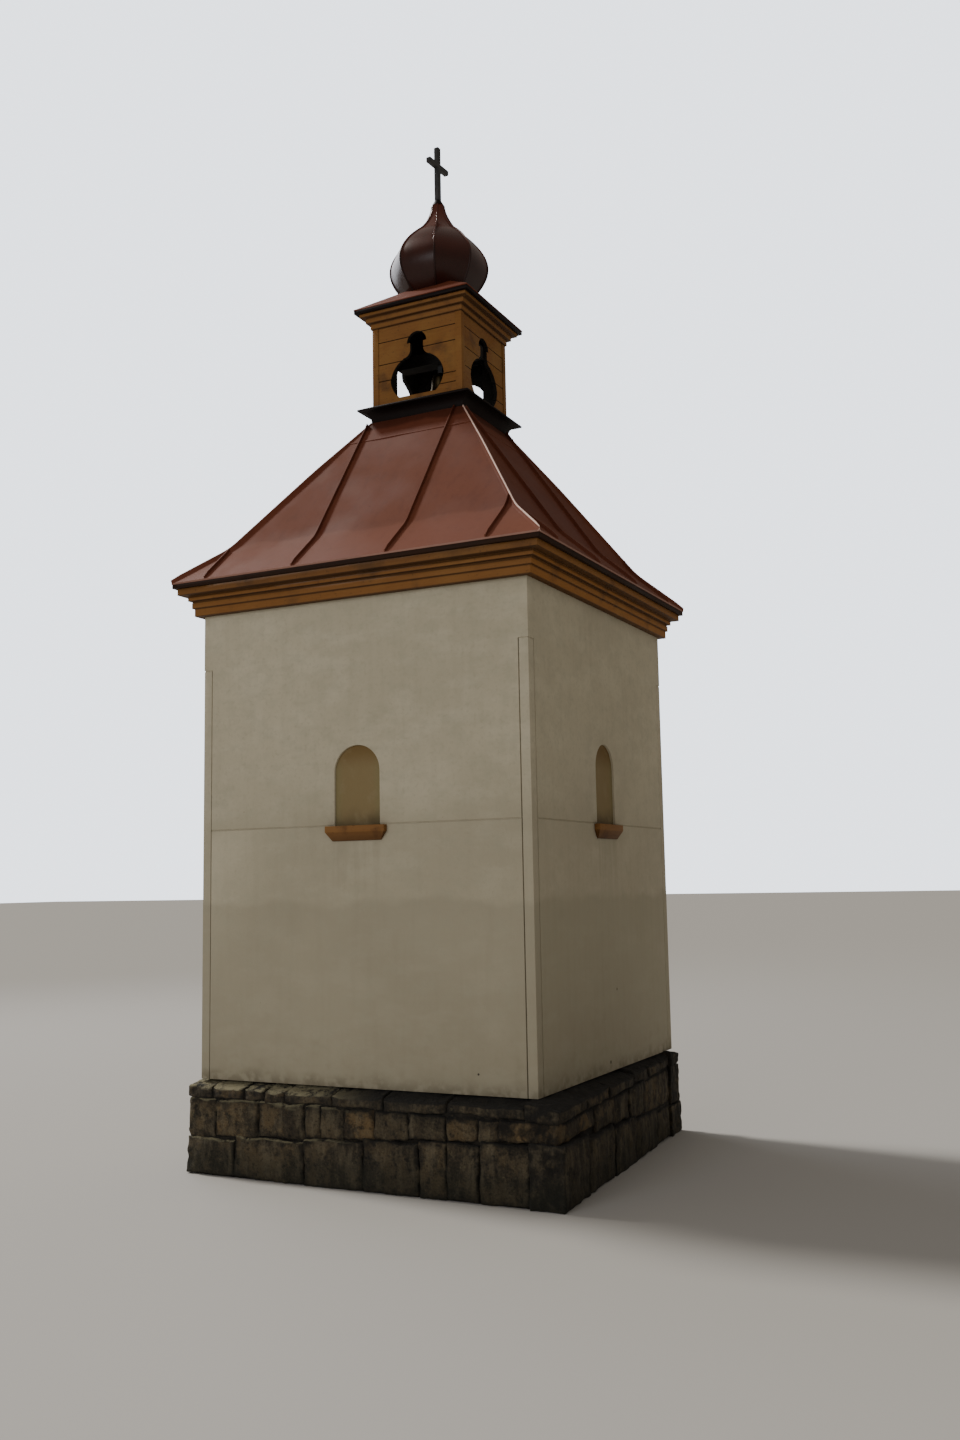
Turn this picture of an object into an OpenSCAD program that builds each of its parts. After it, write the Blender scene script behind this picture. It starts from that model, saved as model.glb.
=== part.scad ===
// Village bell tower: a plastered square shaft on a stone plinth, a bell-cast
// sheet roof, a boarded lantern with keyhole openings, an onion dome and a cross.
// Millimetres. The origin is the middle of the footprint at the lowest ground,
// the front faces -Y and the right side faces +X.

/* [Shaft] */
// Outer width of the plastered shaft
shaft_w = 2500; // [2000:10:3200]
// Thickness of the masonry walls
wall_t = 300; // [200:10:450]
// Height of the walls above the plinth
wall_h = 3370; // [2600:5:4400]
// Height of the incised line round the shaft
groove_h = 8; // [4:1:16]
// Depth of the incised line
groove_depth = 6; // [3:1:12]

/* [Plinth] */
// Height of the lowest course, down to the lowest ground
lower_course_h = 390; // [250:10:700]
// Height of the middle course
middle_course_h = 110; // [80:5:250]
// Height of the weathered top course
top_course_h = 105; // [60:5:200]
// Height of its upright face
top_face_h = 65; // [20:5:150]
// How far the top course stands out over the middle one
top_over = 8; // [2:1:40]
// How far the plinth stands out from the walls
plinth_step = 38; // [20:1:120]
// How much further it stands out in front
front_step = 54; // [0:2:120]
// How much further the lowest course stands out
lower_step = 8; // [2:1:60]
// How much further the front right corner stones run out sideways
corner_run_x = 150; // [0:5:200]
// How much further the front right corner stones run out forwards
corner_run_y = 30; // [0:5:100]
// How much further the corner stones of the lowest course run out
lower_run = 35; // [0:5:80]

/* [Corner strips] */
// Width of the plaster strips on the front and the back
strip_w = 72; // [50:1:140]
// Width of the plaster strips on the right and the left side
side_strip_w = 88; // [50:1:140]
// Height of the strips above the plinth
strip_h = 2792; // [2000:1:3200]
// Plaster thickness of a strip
strip_t = 20; // [12:1:40]
// How far a strip lies behind the plaster beside it
strip_recess = 5; // [2:1:12]
// Width of the line scored beside a strip
strip_gap = 6; // [3:1:12]

/* [Niches] */
// Width of a blind niche
niche_w = 344; // [240:2:600]
// Height of the front and back niches from sill to crown
niche_h = 527; // [400:1:900]
// Height of the side niches from sill to crown
side_niche_h = 557; // [400:1:900]
// Depth of a niche
niche_depth = 18; // [12:1:60]
// Height of the sills above the plinth
sill_level = 1666; // [1200:1:2200]

/* [Sills] */
// Width of a sill
sill_w = 450; // [360:2:760]
// Height of the upper slab of a sill
sill_slab_h = 40; // [20:1:80]
// How far the slab stands out
sill_out = 40; // [20:1:90]
// Width of the foot of a sill
sill_foot_w = 370; // [260:2:700]
// Height of the slanted foot
sill_foot_h = 58; // [20:1:100]
// How far the bottom of the foot stands out
sill_foot_out = 10; // [4:1:18]

/* [Main cornice] */
// Height and projection of the lowest board
fascia_h = 56; // [30:1:90]
fascia_out = 50; // [30:1:54]
// Height and projection of the band over it
band_h = 42; // [20:1:70]
band_out = 64; // [55:1:78]
// Height and projection of the small bead
bead_h = 28; // [15:1:40]
bead_out = 84; // [79:1:110]
// Height of the shadow lines beside the bead
quirk_h = 10; // [6:1:20]
// Height and projection of the top board
crown_h = 47; // [30:1:80]
crown_out = 136; // [118:1:200]

/* [Roof] */
// How far the eaves stand out beyond the walls
eave_out = 165; // [120:1:280]
// Height of the eaves tip above the walls
eave_rise = 40; // [25:1:80]
// Slope of the flared foot of the roof
eave_pitch = 41; // [30:0.5:48]
// Width of the flared foot, in plan
flare_w = 295; // [150:5:400]
// Slope of the roof above the flare
roof_pitch = 55; // [50:0.5:62]
// Thickness of boarding and sheet
roof_t = 30; // [20:1:60]
// Bearing of the roof on the walls
roof_seat_w = 50; // [20:5:150]
// Distance between the standing seams
seam_pitch = 725; // [400:5:900]
// How far the seams lie off the middle
seam_shift = -40; // [-100:5:100]
// Height of the standing seams
seam_h = 25; // [12:1:45]
// Thickness of the standing seams
seam_t = 8; // [4:1:16]
// Thickness of the seams along the hips
hip_t = 10; // [4:1:20]
// Height of the dark drip edge
drip_h = 29; // [20:1:80]
// How far the drip edge lies behind the tip of the eaves
drip_back = 3; // [1:1:12]
// Thickness of the sheet at the tip of the eaves
sheet_edge = 12; // [4:1:20]

/* [Lantern] */
// Outer width of the boarded lantern
lantern_w = 744; // [600:4:1100]
// Height of the boarding
lantern_h = 727; // [600:1:1000]
// Thickness of the boarding
board_t = 30; // [20:1:45]
// Height of the moulded skirt under the lantern
skirt_h = 133; // [90:1:200]
// How far the skirt stands out
skirt_out = 93; // [60:1:150]
// How far the foot of the skirt stands out
skirt_foot_out = 13; // [8:1:40]
// Thickness of the tip of the skirt
skirt_tip = 13; // [8:1:30]
// Width of a corner batten on each side
batten_w = 45; // [30:1:90]
// Thickness of a corner batten
batten_t = 6; // [4:1:20]
// Side of the square posts in the corners
post_w = 100; // [60:1:120]
// Thickness of the floor and the ceiling of the lantern
deck_t = 25; // [15:1:40]

/* [Lantern openings] */
// Height of the flat bottom of an opening above the foot of the boarding
opening_level = 32; // [15:1:80]
// Full height of an opening
opening_h = 486; // [400:1:600]
// Radius of the round head
head_r = 82; // [60:1:110]
// Width of the neck
neck_w = 110; // [80:1:130]
// Radius of the fillets at the foot of the neck
neck_fillet = 60; // [40:1:90]
// Radius of the two arcs on each side of the bulb
bulb_r = 200; // [170:1:230]
// Distance of their centres from the middle of the opening
bulb_x = 26; // [10:1:50]
// Height of the centre of the upper arc
shoulder_level = 110; // [90:1:130]
// Height of the centre of the lower arc
hip_level = 154; // [140:1:170]

/* [Bell] */
// Height of the underside of the bell's beam above the bottom of the openings
beam_level = 350; // [330:1:380]
// Width of the beam
beam_w = 120; // [80:2:150]
// Height of the beam
beam_h = 100; // [60:2:120]
// Height of the bell's lip above the bottom of the openings
bell_level = 42; // [20:1:80]
// Outer radius at the lip
bell_lip_r = 124; // [100:1:150]
// Outer radius at the middle of the waist
bell_waist_r = 76; // [60:1:90]
// Outer radius at the shoulder
bell_shoulder_r = 66; // [50:1:75]
// Height of the bell up to its crown
bell_h = 243; // [200:1:270]
// Thickness of the metal
bell_t = 8; // [5:1:12]
// Width of the strap that holds the bell to its beam
strap_w = 36; // [20:1:50]

/* [Lantern cornice] */
// Height and projection of the lowest band
low_band_h = 43; // [25:1:70]
low_band_out = 16; // [9:1:28]
// Height and projection of the middle band
mid_band_h = 40; // [25:1:70]
mid_band_out = 42; // [31:1:60]
// Height and projection of the top board
top_board_h = 44; // [25:1:70]
top_board_out = 78; // [63:1:120]

/* [Cap roof] */
// How far the cap stands out beyond the lantern
cap_out = 110; // [80:1:180]
// Height of the tip of the cap above the boarding
cap_edge_rise = 14; // [12:1:50]
// Slope of the cap
cap_pitch = 35; // [28:0.5:50]
// Thickness of the cap
cap_t = 20; // [12:1:40]
// Height of the dark drip edge of the cap
cap_drip_h = 26; // [14:1:50]
// Thickness of the sheet at the tip of the cap
cap_sheet_edge = 8; // [4:1:10]

/* [Onion dome] */
// Radius to the seams at the foot
dome_foot_r = 255; // [220:1:330]
// How far its foot lies below the slope of the cap, measured in plan
dome_sink = 12; // [4:1:30]
// Largest radius to the seams
dome_belly_r = 378; // [340:1:460]
// Height of the widest ring
dome_belly_h = 237; // [150:1:280]
// Radius and height of the shoulder, where the curve turns outwards
dome_shoulder_r = 178; // [120:1:220]
dome_shoulder_h = 531; // [420:1:580]
// Radius to the seams at the top of the neck
dome_neck_r = 45; // [34:1:80]
// Height of the dome
dome_h = 771; // [660:1:900]
// Thickness of boarding and sheet
dome_t = 22; // [12:1:40]
// Height of the seams on the dome
dome_seam_h = 8; // [5:1:20]

/* [Cross] */
// Height of the collar over the neck
collar_h = 40; // [20:1:80]
// Largest radius of the collar
collar_r = 54; // [47:1:90]
// Radius of the top of the collar
collar_top_r = 30; // [29:1:45]
// Height of the cross
cross_h = 445; // [300:5:700]
// Length of the cross bar
cross_bar_w = 265; // [160:5:500]
// Height of the middle of the bar above the foot of the cross
cross_bar_level = 290; // [180:1:400]
// Side of the square section
cross_t = 43; // [24:1:50]
// Bevel along the edges and at the ends of the section
cross_bevel = 7; // [3:1:11]
// Turn of the bar away from the front-to-back direction
cross_turn = -5; // [-45:1:45]

/* [Hidden] */
$fn = 48;

plaster = "#d8cdb6";
niche_paint = "#8f7f5e";
ochre = "#a8793f";
roof_red = "#8a5a4c";
dark_brown = "#3d2c29";
dome_red = "#5a3530";
stone = "#7d776c";
iron = "#4a4a4c";
bare_wood = "#4c3f33";
bronze = "#6f6148";

half = shaft_w / 2;
inner_half = half - wall_t;
plinth_h = lower_course_h + middle_course_h + top_course_h;
wall_top = plinth_h + wall_h;
sill_z = plinth_h + sill_level;
cut = 1;

// The four sides, counter-clockwise from the front
SIDES = ["front", "right", "back", "left"];

cornice_h = fascia_h + band_h + bead_h + 2 * quirk_h + crown_h;
cornice_z = wall_top - cornice_h;

eave = [half + eave_out, wall_top + eave_rise];
kink = [eave[0] - flare_w, eave[1] + flare_w * tan(eave_pitch)];
lantern_half = lantern_w / 2;
board_in = lantern_half - board_t;
skirt_foot = lantern_half + skirt_foot_out;
skirt_z = roof_z(skirt_foot);
lantern_z = skirt_z + skirt_h;
lantern_top = lantern_z + lantern_h;
lantern_cornice_h = low_band_h + mid_band_h + top_board_h;
lantern_cornice_z = lantern_top - lantern_cornice_h;
opening_z = lantern_z + opening_level;

cap_edge = [lantern_half + cap_out, lantern_top + cap_edge_rise];
dome_inradius = dome_foot_r * cos(180 / 8);
// The hips of the cap run on under the dome, where the cap is cut flat
cap_top_half = dome_inradius / sqrt(2);
cap_top = cap_z(cap_top_half);
dome_z = cap_z(dome_inradius + dome_sink);
dome_top = dome_z + dome_h;
cross_z = dome_top + collar_h;

// Height of the roof's outer face above the kink
function roof_z(s) = kink[1] + (kink[0] - s) * tan(roof_pitch);
// Height of the cap's outer face at a half width, and the other way round
function cap_z(s) = cap_edge[1] + (cap_edge[0] - s) * tan(cap_pitch);
function cap_s(z) = cap_edge[0] - (z - cap_edge[1]) / tan(cap_pitch);

function bezier(p, t) = pow(1 - t, 3) * p[0] + 3 * pow(1 - t, 2) * t * p[1]
    + 3 * (1 - t) * pow(t, 2) * p[2] + pow(t, 3) * p[3];
function curve(p, n) = [for (i = [0:n]) bezier(p, i / n)];
function reversed(v) = [for (i = [len(v) - 1:-1:0]) v[i]];
function mirrored(v) = [for (p = reversed(v)) [-p[0], p[1]]];

// How often a side is turned through a right angle from the front
function turns(side) = search([side], SIDES)[0];
function is_flank(side) = turns(side) % 2 == 1;
function strip_on(side) = is_flank(side) ? side_strip_w : strip_w;
function strip_beside(side) = is_flank(side) ? strip_w : side_strip_w;
function niche_h_on(side) = is_flank(side) ? side_niche_h : niche_h;

// Plan of one side of a ring between two outlines of four corners each
function side_plan(outer, inner, side) = let (k = turns(side), next = (k + 1) % 4)
    [outer[k], outer[next], inner[next], inner[k]];
function square_plan(h) = [[-h, -h], [h, -h], [h, h], [-h, h]];
// The back left corner, which is out of sight, runs out like the front right one
function plinth_plan(step, run) = let (h = half + plinth_step + step, far = h + corner_run_x + run)
    [[-h, -h - front_step], [far, -h - front_step - corner_run_y - run / 2],
     [h, h], [-far, h + corner_run_y + run / 2]];

// The triangle of plan that belongs to one side, up to its mitres
module side_wedge(side, reach, z0, z1) {
    rotate([0, 0, 90 * turns(side)])
        translate([0, 0, z0])
            linear_extrude(z1 - z0)
                polygon([[0, 0], [-reach, -reach], [reach, -reach]]);
}

// A profile of [outward, up] points run along one side and mitred at its ends
module mitred_side(side, profile) {
    reach = max([for (p = profile) p[0]]) + cut;
    low = min([for (p = profile) p[1]]) - cut;
    high = max([for (p = profile) p[1]]) + cut;
    intersection() {
        rotate([0, 0, 90 * turns(side)])
            rotate([90, 0, -90])
                linear_extrude(2 * reach, center = true)
                    polygon(profile);
        side_wedge(side, reach, low, high);
    }
}

// A square solid whose half width at each height is given by [half, z] points
module square_stack(profile) {
    reach = max([for (p = profile) p[0]]) + cut;
    outline = concat(profile, mirrored(profile));
    intersection() {
        rotate([90, 0, 0])
            linear_extrude(2 * reach, center = true)
                polygon(outline);
        rotate([90, 0, 90])
            linear_extrude(2 * reach, center = true)
                polygon(outline);
    }
}

module square_hole(h, z0, z1) {
    translate([-h, -h, z0 - cut])
        cube([2 * h, 2 * h, z1 - z0 + 2 * cut]);
}

module plinth_side(side) {
    shaft = square_plan(half);
    lower = plinth_plan(lower_step, lower_run);
    middle = plinth_plan(0, 0);
    top = plinth_plan(top_over, 0);
    color(stone) {
        linear_extrude(plinth_h)
            polygon(side_plan(shaft, square_plan(inner_half), side));
        linear_extrude(lower_course_h)
            polygon(side_plan(lower, shaft, side));
        translate([0, 0, lower_course_h])
            linear_extrude(middle_course_h)
                polygon(side_plan(middle, shaft, side));
        translate([0, 0, plinth_h - top_course_h])
            hull() {
                linear_extrude(top_face_h)
                    polygon(side_plan(top, shaft, side));
                linear_extrude(top_course_h)
                    polygon(side_plan(shaft, square_plan(half - cut), side));
            }
    }
}

module niche_outline(height) {
    r = niche_w / 2;
    translate([-r, -sill_slab_h])
        square([niche_w, height - r + sill_slab_h]);
    translate([0, height - r])
        circle(r);
}

module wall(side) {
    rebate = strip_t + strip_recess;
    strip = strip_on(side);
    color(plaster)
        rotate([0, 0, 90 * turns(side)])
            difference() {
                translate([0, 0, plinth_h])
                    linear_extrude(wall_h)
                        polygon(side_plan(square_plan(half), square_plan(inner_half), "front"));
                // blind niche, and below it the seat of the sill
                translate([0, -half + niche_depth, sill_z])
                    rotate([90, 0, 0])
                        linear_extrude(niche_depth + cut)
                            niche_outline(niche_h_on(side));
                // rebates that the corner strips lie in
                for (end = [-1, 1])
                    translate([end * (half - strip / 2) - strip / 2 - (end > 0 ? 0 : cut),
                               -half - cut, plinth_h - cut])
                        cube([strip + cut, rebate + cut, strip_h + cut]);
                // incised line at the level of the sill
                translate([-half, -half - cut, sill_z])
                    cube([shaft_w, groove_depth + cut, groove_h]);
            }
}

// An L of plaster in the rebates of two walls, round the corner after a side
module corner_strip(side) {
    face = half - strip_recess;
    seat = face - strip_t;
    reach = half - strip_on(side) + strip_gap;
    turned = half - strip_beside(side) + strip_gap;
    color(plaster)
        rotate([0, 0, 90 * turns(side)])
            translate([0, 0, plinth_h])
                linear_extrude(strip_h - strip_gap)
                    polygon([[reach, -face], [face, -face], [face, -turned],
                             [seat, -turned], [seat, -seat], [reach, -seat]]);
}

module sill(side) {
    foot_z = -sill_slab_h - sill_foot_h;
    color(ochre)
        rotate([0, 0, 90 * turns(side)])
            translate([0, 0, sill_z])
                union() {
                    intersection() {
                        translate([0, -half, 0])
                            rotate([90, 0, 0])
                                linear_extrude(sill_out)
                                    polygon([[-sill_w / 2, 0], [-sill_w / 2, -sill_slab_h],
                                             [-sill_foot_w / 2, foot_z], [sill_foot_w / 2, foot_z],
                                             [sill_w / 2, -sill_slab_h], [sill_w / 2, 0]]);
                        rotate([90, 0, -90])
                            linear_extrude(sill_w + cut, center = true)
                                polygon([[half, 0], [half + sill_out, 0],
                                         [half + sill_out, -sill_slab_h],
                                         [half + sill_foot_out, foot_z], [half, foot_z]]);
                    }
                    translate([-niche_w / 2, -half, -sill_slab_h])
                        cube([niche_w, niche_depth, sill_slab_h]);
                }
}

module cornice(side) {
    z_band = cornice_z + fascia_h;
    z_bead = z_band + band_h + quirk_h;
    z_crown = z_bead + bead_h + quirk_h;
    quirk = quirk_h / 2;
    color(ochre)
        mitred_side(side, [
            [half, cornice_z],
            [half + fascia_out, cornice_z],
            [half + fascia_out, z_band],
            [half + band_out, z_band],
            [half + band_out, z_band + band_h],
            [half + band_out - quirk, z_band + band_h],
            [half + band_out - quirk, z_bead],
            [half + bead_out, z_bead],
            [half + bead_out, z_bead + bead_h],
            [half + bead_out - quirk, z_bead + bead_h],
            [half + bead_out - quirk, z_crown],
            [half + crown_out, z_crown],
            [half + crown_out, wall_top],
            [half, wall_top]]);
}

module eaves_drip_edge() {
    inside = half + crown_out;
    outside = eave[0] - drip_back;
    top = eave[1] - sheet_edge;
    color(dark_brown)
        difference() {
            square_stack([[outside, top - drip_h], [outside, top]]);
            square_hole(inside, top - drip_h, top);
        }
}

module roof_side(side) {
    mid_pitch = (eave_pitch + roof_pitch) / 2;
    reach = roof_t / cos((roof_pitch - eave_pitch) / 2);
    kink_in = kink - reach * [sin(mid_pitch), cos(mid_pitch)];
    bearing = half - roof_seat_w;
    bearing_z = kink_in[1] - (bearing - kink_in[0]) * tan(eave_pitch);
    foot = half + crown_out;
    top_z = roof_z(board_in);
    low_rise = seam_h / cos(eave_pitch);
    high_rise = seam_h / cos(roof_pitch);
    kink_rise = (low_rise + high_rise) / 2;
    seams = floor((eave[0] - seam_t) / seam_pitch + 0.5);
    color(roof_red) {
        mitred_side(side, [
            eave, kink, [board_in, top_z],
            [board_in, top_z - roof_t / cos(roof_pitch)],
            kink_in, [bearing, bearing_z], [bearing, wall_top],
            [foot, wall_top], [foot, eave[1] - sheet_edge],
            [eave[0], eave[1] - sheet_edge]]);
        intersection() {
            for (i = [-seams:seams - 1])
                rotate([0, 0, 90 * turns(side)])
                    translate([(i + 0.5) * seam_pitch + seam_shift, 0, 0])
                        rotate([90, 0, -90])
                            linear_extrude(seam_t, center = true)
                                polygon([eave, kink, [skirt_foot, skirt_z],
                                         [skirt_foot, skirt_z + cut],
                                         kink + [0, kink_rise], eave + [0, low_rise]]);
            side_wedge(side, eave[0], wall_top, skirt_z + cut);
        }
    }
}

module hip_seams() {
    rise = seam_h / cos(eave_pitch);
    along = function(p) [p[0] * sqrt(2), p[1]];
    color(roof_red)
        for (k = [0:3])
            rotate([90, 0, 45 + 90 * k])
                linear_extrude(hip_t, center = true)
                    polygon([along(eave), along(kink), along([skirt_foot, skirt_z]),
                             along(kink) + [0, rise], along(eave) + [0, rise]]);
}

module lantern_skirt() {
    tip = lantern_half + skirt_out;
    seat = lantern_half + batten_t + cut;
    tip_z = skirt_z + 0.7 * skirt_h;
    bend = 0.45 * (tip - skirt_foot);
    color(dark_brown)
        difference() {
            square_stack(concat(
                [[skirt_foot, skirt_z]],
                curve([[skirt_foot, skirt_z], [skirt_foot, tip_z - skirt_tip - bend / 2],
                       [skirt_foot + bend, tip_z - skirt_tip], [tip, tip_z - skirt_tip]], 6),
                [[tip, tip_z], [seat, lantern_z]]));
            square_hole(board_in, skirt_z, lantern_z);
            roof_cut();
        }
}

// The pyramid of the roof under the skirt, which gives the skirt its sloping seat
module roof_cut() {
    square_stack([[skirt_foot, skirt_z - cut], [skirt_foot, skirt_z],
                  [board_in, roof_z(board_in)]]);
}

module lantern_floor() {
    color(ochre)
        translate([-board_in, -board_in, lantern_z - deck_t])
            cube([2 * board_in, 2 * board_in, deck_t]);
}

module lantern_ceiling() {
    color(ochre)
        translate([-board_in, -board_in, lantern_top - deck_t])
            cube([2 * board_in, 2 * board_in, deck_t]);
}

module lantern_posts() {
    color(ochre)
        for (k = [0:3])
            rotate([0, 0, 90 * k])
                translate([board_in - post_w, board_in - post_w, lantern_z])
                    cube([post_w, post_w, lantern_h - deck_t]);
}

// Keyhole of a flat-bottomed bulb, a neck with flared foot and a round head
module opening_outline() {
    head_y = opening_h - head_r;
    fillet_y = shoulder_level + sqrt(pow(bulb_r + neck_fillet, 2)
        - pow(neck_w / 2 + neck_fillet - bulb_x, 2));
    for (end = [-1, 1])
        intersection() {
            translate([end * bulb_x, shoulder_level])
                circle(bulb_r);
            translate([end * bulb_x, hip_level])
                circle(bulb_r);
            translate([min(0, 2 * end * bulb_r), 0])
                square([2 * bulb_r, opening_h]);
        }
    difference() {
        translate([-neck_w / 2 - neck_fillet, shoulder_level + bulb_r / 2])
            square([neck_w + 2 * neck_fillet, fillet_y - shoulder_level - bulb_r / 2]);
        for (end = [-1, 1])
            translate([end * (neck_w / 2 + neck_fillet), fillet_y])
                circle(neck_fillet);
    }
    translate([-neck_w / 2, shoulder_level])
        square([neck_w, head_y - shoulder_level + head_r / 4]);
    intersection() {
        translate([0, head_y])
            circle(head_r);
        translate([-head_r, head_y])
            square([2 * head_r, head_r]);
    }
}

module lantern_side(side) {
    color(ochre)
        difference() {
            mitred_side(side, [[board_in, lantern_z], [lantern_half, lantern_z],
                            [lantern_half, lantern_top], [board_in, lantern_top]]);
            rotate([0, 0, 90 * turns(side)])
                translate([0, -board_in + cut, opening_z])
                    rotate([90, 0, 0])
                        linear_extrude(board_t + 2 * cut)
                            opening_outline();
        }
}

// The beam lies between the right and the left side of the lantern
module bell_beam() {
    color(bare_wood)
        translate([-board_in, -beam_w / 2, opening_z + beam_level])
            cube([2 * board_in, beam_w, beam_h]);
}

// Half outline of the bell's outside, from the lip to the crown
bell_outline = let (w = bell_waist_r, s = bell_shoulder_r, h = bell_h)
    [[bell_lip_r - 4, 0], [bell_lip_r, 5], [bell_lip_r - 3, 14],
     [w + 0.72 * (bell_lip_r - w), 0.12 * h], [w + 0.42 * (bell_lip_r - w), 0.22 * h],
     [w + 0.15 * (bell_lip_r - w), 0.36 * h], [w, 0.49 * h], [s + 0.3 * (w - s), 0.66 * h],
     [s, 0.79 * h], [0.93 * s, 0.86 * h], [0.78 * s, 0.92 * h], [0.5 * s, 0.97 * h],
     [0.3 * s, h]];

module bell() {
    inner = [for (p = bell_outline) if (p[1] < 0.9 * bell_h) [p[0] - bell_t, p[1]]];
    color(bronze)
        translate([0, 0, opening_z + bell_level]) {
            rotate_extrude($fn = 96)
                polygon(concat(bell_outline, [[0, bell_h], [0, 0.9 * bell_h]],
                               reversed(inner)));
            translate([-strap_w / 2, -strap_w / 4, bell_h - bell_t])
                cube([strap_w, strap_w / 2, beam_level - bell_level - bell_h + bell_t]);
        }
}

module lantern_battens() {
    face = lantern_half + batten_t;
    reach = lantern_half - batten_w;
    color(ochre)
        for (k = [0:3])
            rotate([0, 0, 90 * k])
                translate([0, 0, lantern_z])
                    linear_extrude(lantern_cornice_z - lantern_z)
                        polygon([[reach, -face], [face, -face], [face, -reach],
                                 [lantern_half, -reach], [lantern_half, -lantern_half],
                                 [reach, -lantern_half]]);
}

module lantern_cornice() {
    z_mid = lantern_cornice_z + low_band_h;
    z_top = z_mid + mid_band_h;
    color(ochre)
        difference() {
            square_stack([
                [lantern_half + low_band_out, lantern_cornice_z],
                [lantern_half + low_band_out, z_mid],
                [lantern_half + mid_band_out, z_mid],
                [lantern_half + mid_band_out, z_top],
                [lantern_half + top_board_out, z_top],
                [lantern_half + top_board_out, lantern_top]]);
            square_hole(lantern_half, lantern_cornice_z, lantern_top);
        }
}

module cap_drip_edge() {
    inside = lantern_half + top_board_out;
    outside = cap_edge[0] - drip_back;
    top = cap_edge[1] - cap_sheet_edge;
    color(dark_brown)
        difference() {
            square_stack([[outside, top - cap_drip_h], [outside, top]]);
            square_hole(inside, top - cap_drip_h, top);
        }
}

// The pyramid of the cap, from the tip of its sheet up to where it is cut flat
module cap_pyramid() {
    under = cap_edge[1] - cap_sheet_edge;
    square_stack([[cap_edge[0], under], cap_edge, [cap_top_half, cap_top]]);
}

module cap_roof() {
    foot = lantern_half + top_board_out;
    under = cap_edge[1] - cap_sheet_edge;
    skin = cap_t / cos(cap_pitch);
    room_half = board_in - cap_t;
    room_top = cap_top - cap_t;
    color(roof_red)
        difference() {
            union() {
                cap_pyramid();
                square_stack([[foot, lantern_top], [foot, under + cap_sheet_edge / 2]]);
            }
            square_stack([[room_half, lantern_top - cut], [room_half, cap_z(room_half) - skin],
                          [cap_s(room_top + skin), room_top]]);
        }
}

// Half outline of the dome, from its foot to the top of its neck
dome_outline = let (
    foot = [dome_foot_r, 0],
    belly = [dome_belly_r, dome_belly_h],
    shoulder = [dome_shoulder_r, dome_shoulder_h],
    neck = [dome_neck_r, dome_h],
    lean = [cos(38.5), -sin(38.5)],
    upper = dome_shoulder_h - dome_belly_h)
    concat(
        curve([foot, foot + [0.44, 0.49] * (dome_belly_r - dome_foot_r),
               belly - [0, 0.4 * dome_belly_h], belly], 6),
        curve([belly, belly + [0, 0.37 * upper], shoulder + 0.41 * upper * lean, shoulder], 8),
        curve([shoulder, shoulder - 0.29 * (dome_h - dome_shoulder_h) * lean,
               neck - [-5, 0.37 * (dome_h - dome_shoulder_h)], neck], 7));

// Keeps only one of two points that lie on the same place
function no_doubles(v) = [for (i = [0:len(v) - 1])
    if (i == 0 || norm(v[i] - v[max(i - 1, 0)]) > 0.01) v[i]];

// The dome stands over the top of the cap, and its foot follows the cap's slopes
module onion_dome() {
    skin = no_doubles(dome_outline);
    room = [for (p = skin) if (p[1] < dome_shoulder_h) [p[0] - dome_t, p[1]]];
    color(dome_red)
        difference() {
            translate([0, 0, dome_z])
                rotate([0, 0, 180 / 8])
                    rotate_extrude($fn = 8)
                        polygon(concat(skin, [[0, dome_h], [0, dome_shoulder_h - dome_t]],
                                       reversed(room)));
            cap_pyramid();
        }
}

module dome_seams() {
    skin = no_doubles(dome_outline);
    color(dome_red)
        difference() {
            translate([0, 0, dome_z])
                for (k = [0:7])
                    rotate([90, 0, 180 / 8 + 45 * k])
                        linear_extrude(seam_t, center = true)
                            polygon(concat(skin, [for (p = reversed(skin))
                                                      p + [dome_seam_h, 0]]));
            cap_pyramid();
        }
}

module neck_collar() {
    color(dark_brown)
        translate([0, 0, dome_top])
            cylinder(h = collar_h, r1 = collar_r, r2 = collar_top_r);
}

// A square bar of the cross with bevelled edges and ends, standing on its end
module cross_bar(length) {
    h = cross_t / 2;
    b = cross_bevel;
    side = [[-h + b, 0], [h - b, 0], [h, b], [h, length - b],
            [h - b, length], [-h + b, length], [-h, length - b], [-h, b]];
    intersection() {
        linear_extrude(length)
            polygon([[-h + b, -h], [h - b, -h], [h, -h + b], [h, h - b],
                     [h - b, h], [-h + b, h], [-h, h - b], [-h, -h + b]]);
        rotate([90, 0, 0])
            linear_extrude(cross_t, center = true)
                polygon(side);
        rotate([90, 0, 90])
            linear_extrude(cross_t, center = true)
                polygon(side);
    }
}

module cross() {
    color(iron)
        translate([0, 0, cross_z])
            rotate([0, 0, cross_turn])
                union() {
                    cross_bar(cross_h);
                    translate([0, cross_bar_w / 2, cross_bar_level])
                        rotate([90, 0, 0])
                            cross_bar(cross_bar_w);
                }
}

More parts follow.
